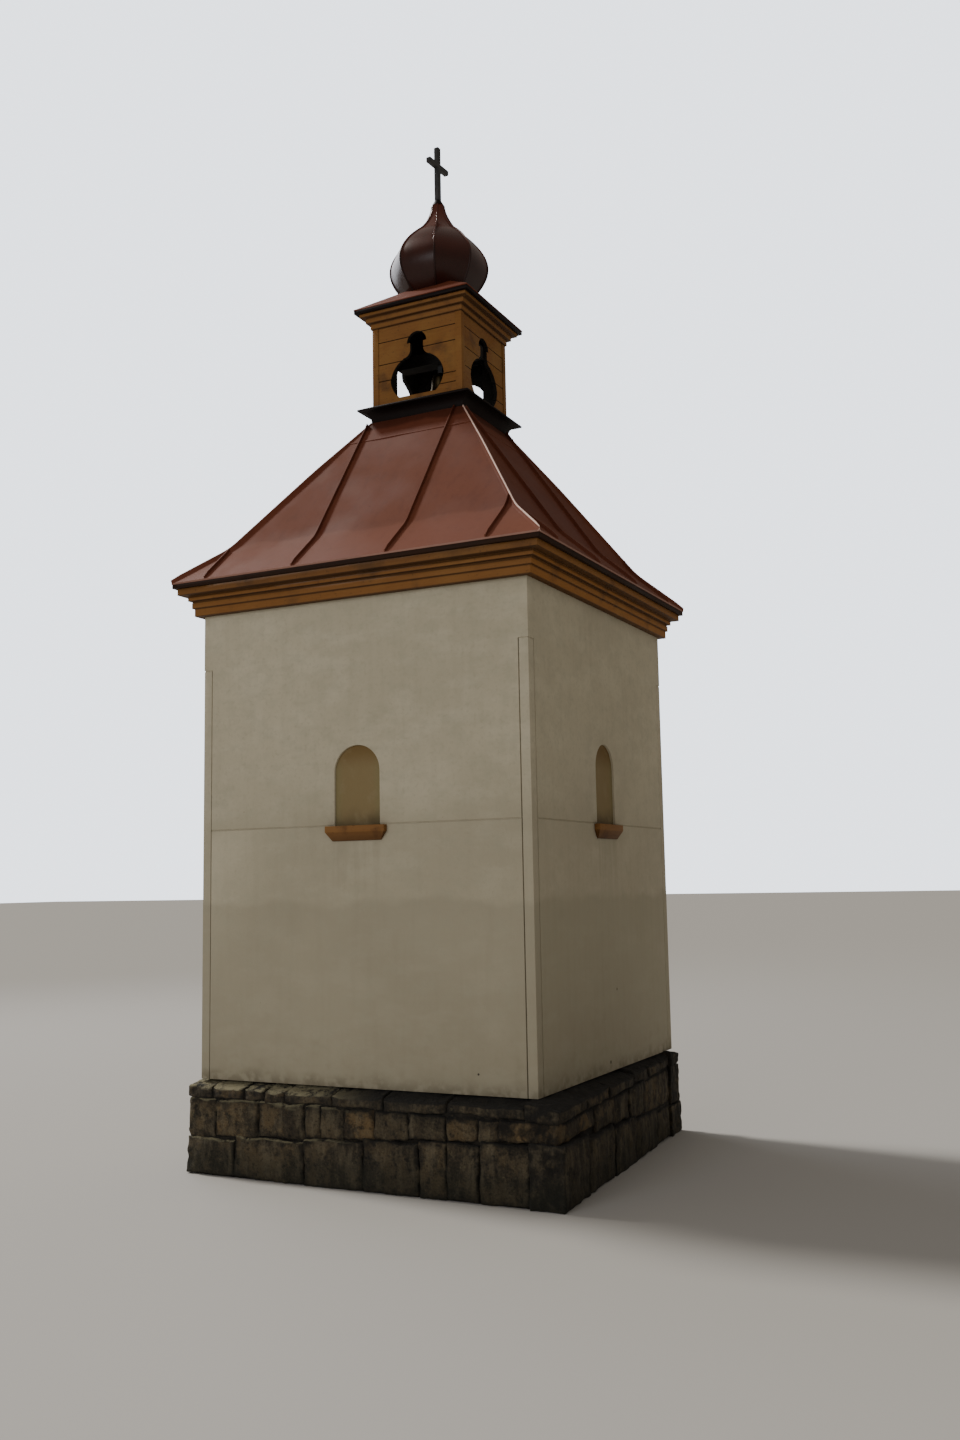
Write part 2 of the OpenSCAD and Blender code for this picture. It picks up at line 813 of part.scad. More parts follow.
plinth_side("front");  // plinth_front
plinth_side("right");  // plinth_right
plinth_side("back");  // plinth_back
plinth_side("left");  // plinth_left
wall("front");  // front_wall
wall("right");  // right_wall
wall("back");  // back_wall
wall("left");  // left_wall
corner_strip("front");  // corner_strip_front_right
corner_strip("right");  // corner_strip_back_right
corner_strip("back");  // corner_strip_back_left
corner_strip("left");  // corner_strip_front_left
sill("front");  // front_sill
sill("right");  // right_sill
sill("back");  // back_sill
sill("left");  // left_sill
cornice("front");  // cornice_front
cornice("right");  // cornice_right
cornice("back");  // cornice_back
cornice("left");  // cornice_left
eaves_drip_edge();
roof_side("front");  // roof_front
roof_side("right");  // roof_right
roof_side("back");  // roof_back
roof_side("left");  // roof_left
hip_seams();
lantern_skirt();
lantern_floor();
lantern_posts();
bell_beam();
bell();
lantern_side("front");  // lantern_front
lantern_side("right");  // lantern_right
lantern_side("back");  // lantern_back
lantern_side("left");  // lantern_left
lantern_battens();
lantern_ceiling();
lantern_cornice();
cap_drip_edge();
cap_roof();
onion_dome();
dome_seams();
neck_collar();
cross();
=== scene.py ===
import math
import random
import bmesh
import bpy
from mathutils import Matrix, Vector, noise


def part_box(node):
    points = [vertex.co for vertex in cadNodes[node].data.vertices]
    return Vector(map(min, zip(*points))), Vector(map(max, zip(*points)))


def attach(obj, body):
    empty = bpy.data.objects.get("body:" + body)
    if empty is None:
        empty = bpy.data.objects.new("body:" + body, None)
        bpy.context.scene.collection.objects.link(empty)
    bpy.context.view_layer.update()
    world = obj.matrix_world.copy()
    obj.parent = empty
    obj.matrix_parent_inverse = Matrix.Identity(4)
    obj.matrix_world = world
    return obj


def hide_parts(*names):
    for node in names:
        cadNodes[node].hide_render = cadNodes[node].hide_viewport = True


# A plastered village bell tower, dressed over its CAD frame.
# Metres, Z up. The front faces -Y and the right side faces +X.
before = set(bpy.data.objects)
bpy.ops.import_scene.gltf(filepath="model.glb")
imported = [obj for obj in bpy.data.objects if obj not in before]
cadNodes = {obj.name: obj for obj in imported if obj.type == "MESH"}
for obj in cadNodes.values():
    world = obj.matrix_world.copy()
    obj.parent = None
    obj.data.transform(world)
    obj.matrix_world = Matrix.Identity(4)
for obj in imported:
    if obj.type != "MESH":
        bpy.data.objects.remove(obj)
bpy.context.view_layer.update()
sideNames = ("front", "right", "back", "left")
print("frame loaded:", len(cadNodes), "nodes")


# camera, lights and floor

photoCamera = {
    "place": (4.535376, -8.556405, 1.891726),
    "yaw": 26.409, "pitch": 7.032, "roll": -1.026,      # degrees
    "lens": 32.82, "longSide": 36.0,                    # mm
    "farthest": 500.0,
}
studioLights = {
    # name: kind, place, size in metres or degrees, power, colour
    "high left": ("SUN", (-11.2, 1.4, 15.4), 9.0, 2.75, "#fffaf2"),
    "front left": ("AREA", (-1.5, -16.0, 7.0), 8.0, 560.0, "#f6f6fb"),
    "left sky": ("AREA", (-11.5, 5.5, 12.0), 9.0, 700.0, "#f4f7ff"),
}
studio = {
    "glow": "#fff6ea", "glowPower": 0.30, "backdrop": "#e9eff8", "backdropPower": 2.8,
    "floor": "#aeaca8", "floorHalf": 150.0, "aim": (0, 0, 3.2),
}


def toLinear(hexColour):
    values = [int(hexColour[i:i + 2], 16) / 255 for i in (1, 3, 5)]
    return [v / 12.92 if v <= 0.04045 else ((v + 0.055) / 1.055) ** 2.4 for v in values] + [1.0]


def addNode(owner, kind, inputs={}, **settings):
    # adds one node to a material or the world, with its settings, and links or sets its inputs
    tree = owner.node_tree
    node = tree.nodes.new("ShaderNode" + kind)
    for name, value in settings.items():
        setattr(node, name, value)
    for key, value in inputs.items():
        if isinstance(value, bpy.types.NodeSocket):
            tree.links.new(value, node.inputs[key])
        else:
            node.inputs[key].default_value = value
    return node


def meshFrom(bm, name):
    mesh = bpy.data.meshes.new(name)
    bm.to_mesh(mesh)
    bm.free()
    return mesh


def makeCamera():
    data = bpy.data.cameras.new("photo camera")
    data.lens = photoCamera["lens"]
    data.sensor_width = photoCamera["longSide"]
    data.clip_end = photoCamera["farthest"]
    camera = bpy.data.objects.new("photo camera", data)
    camera.matrix_world = (
        Matrix.Translation(photoCamera["place"])
        @ Matrix.Rotation(math.radians(photoCamera["yaw"]), 4, "Z")
        @ Matrix.Rotation(math.radians(90 + photoCamera["pitch"]), 4, "X")
        @ Matrix.Rotation(math.radians(photoCamera["roll"]), 4, "Z"))
    bpy.context.scene.collection.objects.link(camera)
    bpy.context.scene.camera = camera


def makeStudio():
    for name, (kind, place, size, power, colour) in studioLights.items():
        data = bpy.data.lights.new(name, kind)
        if kind == "SUN":
            data.angle = math.radians(size)
        else:
            data.shape = "DISK"
            data.size = size
        data.energy = power
        data.color = toLinear(colour)[:3]
        light = bpy.data.objects.new(name, data)
        aim = Vector(studio["aim"]) - Vector(place)
        towards = aim.to_track_quat("-Z", "Y").to_matrix().to_4x4()
        light.matrix_world = Matrix.Translation(place) @ towards
        bpy.context.scene.collection.objects.link(light)
    world = bpy.data.worlds.new("soft studio")
    world.use_nodes = True
    # the backdrop is seen bright, and the object is lit by a softer glow
    seen = addNode(world, "LightPath").outputs["Is Camera Ray"]
    glow, backdrop = [
        addNode(world, "Background", {"Color": toLinear(studio[part]), "Strength": studio[part + "Power"]})
        for part in ("glow", "backdrop")]
    both = addNode(world, "MixShader", {0: seen, 1: glow.outputs[0], 2: backdrop.outputs[0]})
    world.node_tree.links.new(both.outputs[0], world.node_tree.nodes["World Output"].inputs["Surface"])
    bpy.context.scene.world = world

    bm = bmesh.new()
    bmesh.ops.create_grid(bm, x_segments=1, y_segments=1, size=studio["floorHalf"])
    floor = bpy.data.objects.new("studio floor", meshFrom(bm, "studio floor"))
    material = bpy.data.materials.new("pale matt floor")
    material.use_nodes = True
    shader = material.node_tree.nodes["Principled BSDF"]
    shader.inputs["Base Color"].default_value = toLinear(studio["floor"])
    shader.inputs["Roughness"].default_value = 0.9
    floor.data.materials.append(material)
    bpy.context.scene.collection.objects.link(floor)


makeCamera()
makeStudio()
print("studio ready")


# materials

def startMaterial(name, roughness, metallic=0.0, gloss=0.5):
    coat = bpy.data.materials.new(name)
    coat.use_nodes = True
    shader = coat.node_tree.nodes["Principled BSDF"]
    shader.inputs["Roughness"].default_value = roughness
    shader.inputs["Metallic"].default_value = metallic
    shader.inputs["Specular IOR Level"].default_value = gloss
    addNode(coat, "TexCoord", name="piece")
    return coat


def placeOn(coat):
    # the piece's own coordinates in metres, so that patterns have real sizes
    return coat.node_tree.nodes["piece"].outputs["Object"]


def heightOn(coat):
    return addNode(coat, "SeparateXYZ", {"Vector": placeOn(coat)}).outputs[2]


def alongSide(coat):
    # distance from the middle of a side of the square tower, whichever side it is
    parts = addNode(coat, "SeparateXYZ", {"Vector": placeOn(coat)})
    across = [addNode(coat, "Math", {0: parts.outputs[i]}, operation="ABSOLUTE").outputs[0] for i in (0, 1)]
    return addNode(coat, "Math", {0: across[0], 1: across[1]}, operation="MINIMUM").outputs[0]


def facingUp(coat):
    # 1 on a face that looks up, -1 on one that looks down
    return addNode(coat, "SeparateXYZ", {"Vector": addNode(coat, "NewGeometry").outputs["Normal"]}).outputs[2]


def fade(coat, value, low, high):
    # 0 at low and 1 at high, or the other way round where low is the larger
    ends = {"From Min": min(low, high), "From Max": max(low, high),
            "To Min": float(low > high), "To Max": float(low < high)}
    return addNode(coat, "MapRange", {"Value": value, **ends}, interpolation_type="SMOOTHSTEP").outputs[0]


def blotches(coat, sizeMm, low, high, stretch=(1, 1, 1), detail=4.0, rough=0.5):
    # a soft 0 to 1 pattern whose patches are about sizeMm across
    moved = addNode(coat, "Mapping", {"Vector": placeOn(coat), "Scale": stretch}).outputs[0]
    cloud = addNode(coat, "TexNoise", {"Vector": moved, "Scale": 1000 / sizeMm, "Detail": detail,
                                       "Roughness": rough})
    return fade(coat, cloud.outputs[0], low, high)


def times(coat, *masks):
    made = masks[0]
    for mask in masks[1:]:
        made = addNode(coat, "Math", {0: made, 1: mask}, operation="MULTIPLY").outputs[0]
    return made


def wobbled(coat, value, sizeMm, amountMm):
    # value raised by amountMm on average, so that a level line turns ragged
    wave = addNode(coat, "TexNoise", {"Vector": placeOn(coat), "Scale": 1000 / sizeMm, "Detail": 5.0})
    return addNode(coat, "Math", {0: wave.outputs[0], 1: amountMm / 500, 2: value},
                   operation="MULTIPLY_ADD").outputs[0]


def markAt(coat, centre, radiusMm, strength):
    # a small round mark with a soft edge
    away = addNode(coat, "VectorMath", {0: placeOn(coat), 1: centre}, operation="DISTANCE").outputs["Value"]
    return times(coat, fade(coat, away, radiusMm / 800, radiusMm / 1400), strength)


def connect(coat, value, socketName):
    coat.node_tree.links.new(value, coat.node_tree.nodes["Principled BSDF"].inputs[socketName])


def paintOver(coat, base, colours, bumps):
    # colours: each with its masks, laid over the base
    # bumps: pattern, height in mm and strength, the coarse ones first
    made = toLinear(base)
    for colour, *masks in colours:
        made = addNode(coat, "Mix", {0: times(coat, *masks), 6: made, 7: toLinear(colour)},
                       data_type="RGBA").outputs[2]
    connect(coat, made, "Base Color")
    below = {}
    for pattern, heightMm, strength in bumps:
        bump = addNode(coat, "Bump", {"Height": pattern, "Distance": heightMm / 1000,
                                      "Strength": strength, **below})
        below = {"Normal": bump.outputs[0]}
    connect(coat, bump.outputs[0], "Normal")
    return coat


plasterLook = {
    "wash": "#bdb59d", "cloud": "#a59d87", "pale": "#cac3ac", "cool": "#a5a18b", "streak": "#8b846f",
    "soil": "#6c634f", "plinthTop": 0.605, "groove": 2.26, "lift": 1.77, "sillFoot": 2.173, "sillHalf": 0.19,
    # small marks on the walls: place, radius in mm, strength
    "marks": (((0.854, -1.25, 0.731), 7, 0.9), ((1.25, -0.045, 0.669), 12, 0.8),
              ((1.25, 0.111, 1.142), 10, 0.6)),
}


def limePlaster():
    # limewashed lime plaster, hand floated: matt and finely clouded, darker lifts below, a soiled foot
    look = plasterLook
    streak, base, lift, sill = (look[name] for name in ("streak", "plinthTop", "lift", "sillFoot"))
    coat = startMaterial("limewashed lime plaster", 0.93)
    z, along = heightOn(coat), alongSide(coat)
    ragged = wobbled(coat, z, 120, 90)     # 90 mm above z on average
    foot = fade(coat, ragged, base + 0.20, base + 0.08)
    splash = fade(coat, wobbled(coat, z, 400, 420), base + 1.0, base + 0.3)
    lowerLift = fade(coat, wobbled(coat, z, 420, 110), lift + 0.15, lift + 0.08)
    liftEdge = times(coat, lowerLift, fade(coat, ragged, lift - 0.15, lift + 0.10))
    wash = times(coat, fade(coat, along, look["sillHalf"] + 0.03, look["sillHalf"] - 0.02),
                 fade(coat, ragged, sill - 0.50, sill - 0.05), fade(coat, z, sill + 0.004, sill))
    bands = blotches(coat, 330, 0.44, 0.68, stretch=(1, 1, 2.2), detail=7, rough=0.6)
    return paintOver(coat, look["wash"], [
        (look["cloud"], blotches(coat, 1000, 0.40, 0.62, detail=5), 0.32),
        (look["pale"], bands, 0.40),
        (streak, fade(coat, wobbled(coat, z, 900, 250), 3.05, 2.45), 0.15),
        (streak, fade(coat, z, look["groove"] + 0.16, look["groove"] - 0.02), 0.15),
        (streak, lowerLift, 0.30),
        (streak, fade(coat, wobbled(coat, z, 700, 300), 1.75, 0.95), 0.07),
        (look["cool"], blotches(coat, 110, 0.42, 0.70, stretch=(1, 1, 1.4), detail=7, rough=0.65), 0.38),
        (look["cloud"], blotches(coat, 26, 0.50, 0.72, detail=6), 0.35),
        (streak, blotches(coat, 60, 0.44, 0.72, stretch=(1, 1, 0.09)), 0.08),
        (streak, liftEdge, bands, 0.22),
        (streak, wash, blotches(coat, 40, 0.35, 0.7, stretch=(1, 1, 0.1)), 0.22),
        (streak, splash, blotches(coat, 90, 0.5, 0.75), 0.3),
        (look["soil"], foot, blotches(coat, 60, 0.36, 0.62), 0.6),
        (look["soil"], blotches(coat, 34, 0.75, 0.80), 0.5),
        *[("#2b241c", markAt(coat, *mark)) for mark in look["marks"]],
    ], [
        (blotches(coat, 330, 0.2, 0.8, detail=2), 5.0, 0.5),
        (blotches(coat, 45, 0.2, 0.8, stretch=(1, 1, 0.6)), 1.2, 0.5),
        (blotches(coat, 7, 0.2, 0.8, detail=2), 0.7, 0.5),     # 1 mm sand, drawn at 7 mm
    ])


def nichePaint():
    # ochre limewash inside the blind niches, greyed and soiled towards the sill
    coat = startMaterial("ochre limewash", 0.95)
    z = heightOn(coat)
    return paintOver(coat, "#857450", [
        ("#807a55", fade(coat, alongSide(coat), 0.10, 0.17), 0.5),
        ("#6c5329", fade(coat, z, 2.62, 2.80), 0.8),
        ("#4a3f2a", fade(coat, wobbled(coat, z, 150, 60), 2.47, 2.29), 0.85),
        ("#8f8261", blotches(coat, 90, 0.5, 0.75), 0.35),
    ], [
        (blotches(coat, 120, 0.2, 0.8, detail=2), 3.0, 0.5),
        (blotches(coat, 7, 0.2, 0.8, detail=2), 0.7, 0.5),
    ])


def ochrePaint(name, base, worn, grime, sizes, grooves=(), under=("#1c1108", 0.45)):
    # matt ochre paint on planed softwood: brush lines along the board, rubbed edges, painted shade in the
    # grooves and on every face that looks down; grooves: lower and upper level, strength
    coat = startMaterial(name, 0.72, gloss=0.36)
    z = heightOn(coat)
    lines = blotches(coat, 190, 0.3, 0.7, stretch=(1, 1, 14), detail=5)
    return paintOver(coat, base, [
        (worn, blotches(coat, sizes[0], 0.45, 0.72), 0.6),
        (worn, lines, 0.35),
        (grime, blotches(coat, sizes[1], 0.52, 0.76), 0.55),
        (grime, blotches(coat, 16, 0.62, 0.72), 0.5),
        # painted shade in the grooves
        *[("#1c1108", fade(coat, z, low - 0.004, low), fade(coat, z, high + 0.004, high), strength)
          for low, high, strength in grooves],
        # painted shade on every face that looks down
        (under[0], fade(coat, facingUp(coat), -0.3, -0.7), under[1]),
    ], [(lines, 0.8, 0.6), (blotches(coat, 60, 0.2, 0.8), 1.2, 0.35)])


def shadedBareBoards():
    # unpainted softwood inside the lantern, darkened with age and painted near black as shade
    coat = startMaterial("bare weathered softwood, painted near black as shade", 0.9)
    lines = blotches(coat, 120, 0.3, 0.7, stretch=(1, 1, 12), detail=6)
    return paintOver(coat, "#1b1611", [
        ("#0d0a08", lines),
        ("#241f1a", blotches(coat, 180, 0.5, 0.75), 0.6),
    ], [(lines, 1.5, 0.7)])


def paintedSheet(name, base, faded, dark, roughness, dentMm, spots=0.4, gloss=0.5, bands=()):
    # oil paint on galvanised steel sheet: faded clouds, drips down the slope, soft dents
    # bands: painted light and shade by height, each a colour, two levels between which it fades in, strength
    coat = startMaterial(name, roughness, gloss=gloss)
    z = heightOn(coat)
    clouds = blotches(coat, 620, 0.36, 0.68, detail=5)
    rub = addNode(coat, "MapRange", {"Value": clouds, "To Min": roughness - 0.06, "To Max": roughness + 0.1})
    connect(coat, rub.outputs[0], "Roughness")
    return paintOver(coat, base, [
        (faded, clouds, 0.45),
        (dark, blotches(coat, 300, 0.52, 0.76, detail=6), 0.18),
        (dark, blotches(coat, 55, 0.46, 0.74, stretch=(1, 1, 0.12)), 0.18),
        (faded, blotches(coat, 22, 0.60, 0.74), spots),
        (dark, blotches(coat, 30, 0.68, 0.76), spots),
        # painted light and shade bands by height
        *[(band, fade(coat, wobbled(coat, z, 320, 60), start, end), strength)
          for band, start, end, strength in bands],
    ], [
        (blotches(coat, 420, 0.25, 0.75, detail=1), dentMm, 0.5),
        (blotches(coat, 70, 0.25, 0.75, detail=2), dentMm / 6, 0.5),
        (blotches(coat, 6, 0.2, 0.8, detail=2), 0.25, 0.4),    # brushed paint
    ])


# attributes that each stone carries: its darkness, its warmth, the nearness to its joints
stoneLayers = ("stoneTint", "stoneWarmth", "stoneRim")


def weatheredSandstone():
    # rough-hewn brown sandstone, black with soot, with yellow lichen on the ledges
    coat = startMaterial("weathered sandstone", 0.96)
    tint, warm, rim = [addNode(coat, "Attribute", attribute_name=name).outputs["Fac"] for name in stoneLayers]
    z = heightOn(coat)
    ledge = fade(coat, facingUp(coat), 0.15, 0.6)
    strata = blotches(coat, 300, 0.3, 0.7, stretch=(1, 1, 9), detail=6, rough=0.65)
    grains = blotches(coat, 16, 0.3, 0.7, detail=5, rough=0.7)
    leftward = fade(coat, addNode(coat, "SeparateXYZ", {"Vector": placeOn(coat)}).outputs[0], 0.2, -0.4)
    return paintOver(coat, "#6b5d44", [
        ("#8c6f43", warm, blotches(coat, 120, 0.30, 0.55, detail=6), 0.9),
        ("#211d18", tint, 0.85),
        ("#6b5c40", blotches(coat, 130, 0.45, 0.66, detail=7, rough=0.7), 0.45),
        ("#6c624c", strata, 0.25),
        ("#171411", blotches(coat, 200, 0.44, 0.55, detail=7, rough=0.72), 0.88),
        ("#857b63", blotches(coat, 70, 0.44, 0.70, stretch=(1, 1, 0.25), detail=6, rough=0.6), 0.5),
        ("#86805f", blotches(coat, 28, 0.56, 0.70, detail=6, rough=0.7), 0.4),
        ("#8a7d62", grains, 0.22),
        ("#151310", blotches(coat, 45, 0.56, 0.72, detail=6), 0.75),
        ("#12100d", fade(coat, rim, 0.25, 0.95), blotches(coat, 60, 0.30, 0.60, detail=6), 0.85),
        ("#0e0c0a", blotches(coat, 12, 0.58, 0.70, detail=5), 0.55),
        ("#161412", fade(coat, wobbled(coat, z, 80, 60), 0.46, 0.56),
         blotches(coat, 90, 0.38, 0.58, detail=6, rough=0.7), 0.58),
        ("#161513", ledge, 0.86),
        ("#9c9576", ledge, leftward, blotches(coat, 90, 0.38, 0.54, detail=7, rough=0.7), 0.85),
        ("#4a4738", ledge, blotches(coat, 60, 0.56, 0.68, detail=7, rough=0.7), 0.4),
        ("#23261a", fade(coat, wobbled(coat, z, 90, 70), 0.34, 0.14), 0.5),
    ], [
        (strata, 7.0, 0.6),
        (blotches(coat, 55, 0.25, 0.75, detail=7, rough=0.7), 16.0, 0.9),
        (grains, 5.0, 0.9),
    ])


def soiledMortar():
    # washed-out lime mortar and soil in the joints of the plinth
    coat = startMaterial("soiled lime mortar", 0.98)
    return paintOver(coat, "#2b2720", [
        ("#14120f", blotches(coat, 50, 0.35, 0.65)),
        ("#47402f", blotches(coat, 22, 0.56, 0.7), 0.6),
    ], [(blotches(coat, 20, 0.2, 0.8, detail=5), 6.0, 0.8)])


def paintedIron():
    # black-brown paint on a welded steel section, chalky in patches
    coat = startMaterial("painted steel section", 0.5)
    return paintOver(coat, "#242527", [
        ("#3b3c3d", blotches(coat, 60, 0.45, 0.7), 0.7),
        ("#3a2a22", blotches(coat, 25, 0.60, 0.72), 0.5),
    ], [(blotches(coat, 14, 0.2, 0.8), 0.8, 0.6)])


def castBronze():
    # bell bronze, browned by the weather, still bright where the light catches it
    coat = startMaterial("weathered cast bronze", 0.3, 1.0)
    return paintOver(coat, "#7a6a4a", [
        ("#3d3424", blotches(coat, 60, 0.40, 0.66, detail=5), 0.7),
        ("#5a6650", blotches(coat, 25, 0.58, 0.72, detail=5), 0.4),
    ], [(blotches(coat, 10, 0.2, 0.8), 0.4, 0.4)])


plaster = limePlaster()
niche = nichePaint()
# painted shade in the grooves between the mouldings, and over the crown under the eaves: lower and upper
# level, strength
corniceShade = ((3.779, 3.786, 0.4), (3.833, 3.841, 0.4), (3.876, 3.890, 0.5), (3.914, 3.930, 0.45),
                  (3.934, 3.990, 0.20))
mouldingShade = ((6.050, 6.059, 0.4), (6.090, 6.100, 0.45), (6.130, 6.141, 0.4), (6.176, 6.190, 0.3))
cornicePaints = [
    # painted light: the right side's copy is lighter, standing in for light bounced up from the ground
    ochrePaint("ochre paint on planed boards" + note, *colours, (420, 260), corniceShade)
    for note, colours in (("", ("#7e5120", "#8b602b", "#3e250d")),
                          (", right side", ("#935e1f", "#9d6c2a", "#4c2e10")))]
boardPaint = ochrePaint("ochre paint on rough boards", "#7e5120", "#8c652c", "#3e250c", (240, 160),
                        mouldingShade)
# stronger painted shade on the sill's faces that look down
sillPaint = ochrePaint("ochre paint on render", "#7f5627", "#8d6535", "#4a290b", (150, 110),
                       under=("#2c1204", 0.62))
shadedBareWood = shadedBareBoards()
# painted light and painted shadow: the flare below the kink is painted lighter, as it faces more of the sky,
# and a dark band is a painted shadow under the lantern skirt
roofPaint = paintedSheet("faded red-brown roof paint", "#683828", "#734430", "#44241b", 0.66, 3.5, 0.4, 0.08,
                         (("#7e4d3b", 4.37, 4.34, 0.35), ("#260f0a", 5.285, 5.325, 0.5)))
capPaint = paintedSheet("faded red-brown paint of the cap", "#6c3725", "#76432e", "#442319", 0.62, 3.5,
                        0.4, 0.1)
foldHighlightPaint = paintedSheet("roof paint on the eaves fold, painted pale as a highlight", "#8f6554", "#a67a68", "#553026", 0.5, 1.0)
hipCapHighlightPaint = paintedSheet("rubbed roof paint on the seam edges", "#dcb9aa", "#e4c6b8", "#a87a69", 0.45, 1.0)
darkPaint = paintedSheet("dark brown gutter paint", "#160e0d", "#211613", "#0c0707", 0.6, 2.0, 0.15, 0.12)
eavesPaint = paintedSheet("brown gutter paint", "#2b1b12", "#3a2618", "#140c08", 0.6, 2.0, 0.3, 0.12)
# painted shade below the belly, where the dome faces the ground, and a lighter, warmer painted highlight on
# the upper part
domePaint = paintedSheet("deep red gloss paint", "#40190f", "#54271b", "#1c0b08", 0.30, 2.5, 0.1, 0.30,
                         (("#1a0b09", 6.76, 6.60, 0.6), ("#6a2f1d", 6.84, 7.00, 0.45)))
# the seams are painted lighter as a highlight, with the same painted shade below the belly
domeSeamPaint = paintedSheet("red paint on the dome seams, painted lighter as a highlight", "#55291f", "#704237", "#2a120d",
                             0.42, 1.0, 0.2, 0.3, (("#200e0a", 6.80, 6.66, 0.9),))
stone = weatheredSandstone()
mortar = soiledMortar()
iron = paintedIron()
bronze = castBronze()
print("materials ready")


# shared ways of making a piece

def turned(side):
    return Matrix.Rotation(math.radians(90 * side), 4, "Z")


def onSide(side, *vectors):
    return tuple(turned(side) @ vector for vector in vectors)


def finishPiece(bm, name, materials, stands=(), sharpAngle=35):
    mesh = meshFrom(bm, name)
    for material in materials:
        mesh.materials.append(material)
    mesh.shade_smooth()
    mesh.set_sharp_from_angle(angle=math.radians(sharpAngle))
    piece = bpy.data.objects.new(name, mesh)
    bpy.context.scene.collection.objects.link(piece)
    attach(piece, "root")
    if stands:
        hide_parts(*stands)


def paintNodes(material, *names):
    for name in names:
        cadNodes[name].data.materials.clear()
        cadNodes[name].data.materials.append(material)


def nodeCopy(*names):
    # a welded copy of CAD nodes with their flat faces in one piece each
    bm = bmesh.new()
    for name in names:
        bm.from_mesh(cadNodes[name].data)
    bmesh.ops.remove_doubles(bm, verts=bm.verts, dist=0.00005)
    bmesh.ops.dissolve_limit(bm, angle_limit=math.radians(0.6), verts=bm.verts, edges=bm.edges)
    return bm


def softenEdges(bm, width, segments=2, angle=20):
    sharp = [e for e in bm.edges if len(e.link_faces) == 2 and e.calc_face_angle(0) > math.radians(angle)]
    bmesh.ops.bevel(bm, geom=sharp, offset=width, segments=segments, profile=0.5,
                    affect="EDGES", material=-1, clamp_overlap=True)


def softened(nodeName, pieceName, material, width):
    # the CAD piece with its edges rounded as paint and planing leave them
    bm = nodeCopy(nodeName)
    softenEdges(bm, width)
    finishPiece(bm, pieceName, [material], [nodeName])


def closeUp(bm, verts, near=1e-5):
    # one closed skin whose faces point outwards
    bmesh.ops.remove_doubles(bm, verts=verts, dist=near)
    bmesh.ops.holes_fill(bm, edges=[e for e in bm.edges if e.is_boundary], sides=0)
    bmesh.ops.recalc_face_normals(bm, faces=bm.faces)


def keepInside(bm, halfWidth, halfDepth):
    # nothing reaches out of the frame or into the ground
    for vert in bm.verts:
        x, y, z = vert.co
        vert.co = (max(-halfWidth, min(halfWidth, x)), max(-halfDepth, min(halfDepth, y)), max(0.0, z))


def sweep(bm, path, section):
    # a closed section along path, whose points are (centre, across, up)
    rows, columns = len(path) - 1, len(section)
    grid = bmesh.ops.create_grid(bm, x_segments=rows, y_segments=columns, size=1.0)["verts"]
    for vert in grid:
        centre, across, up = path[round((vert.co.x + 1) / 2 * rows)]
        right, rise = section[round((vert.co.y + 1) / 2 * columns) % columns]
        vert.co = centre + across * right + up * rise
    closeUp(bm, grid, 1e-6)


# plinth of rough stones

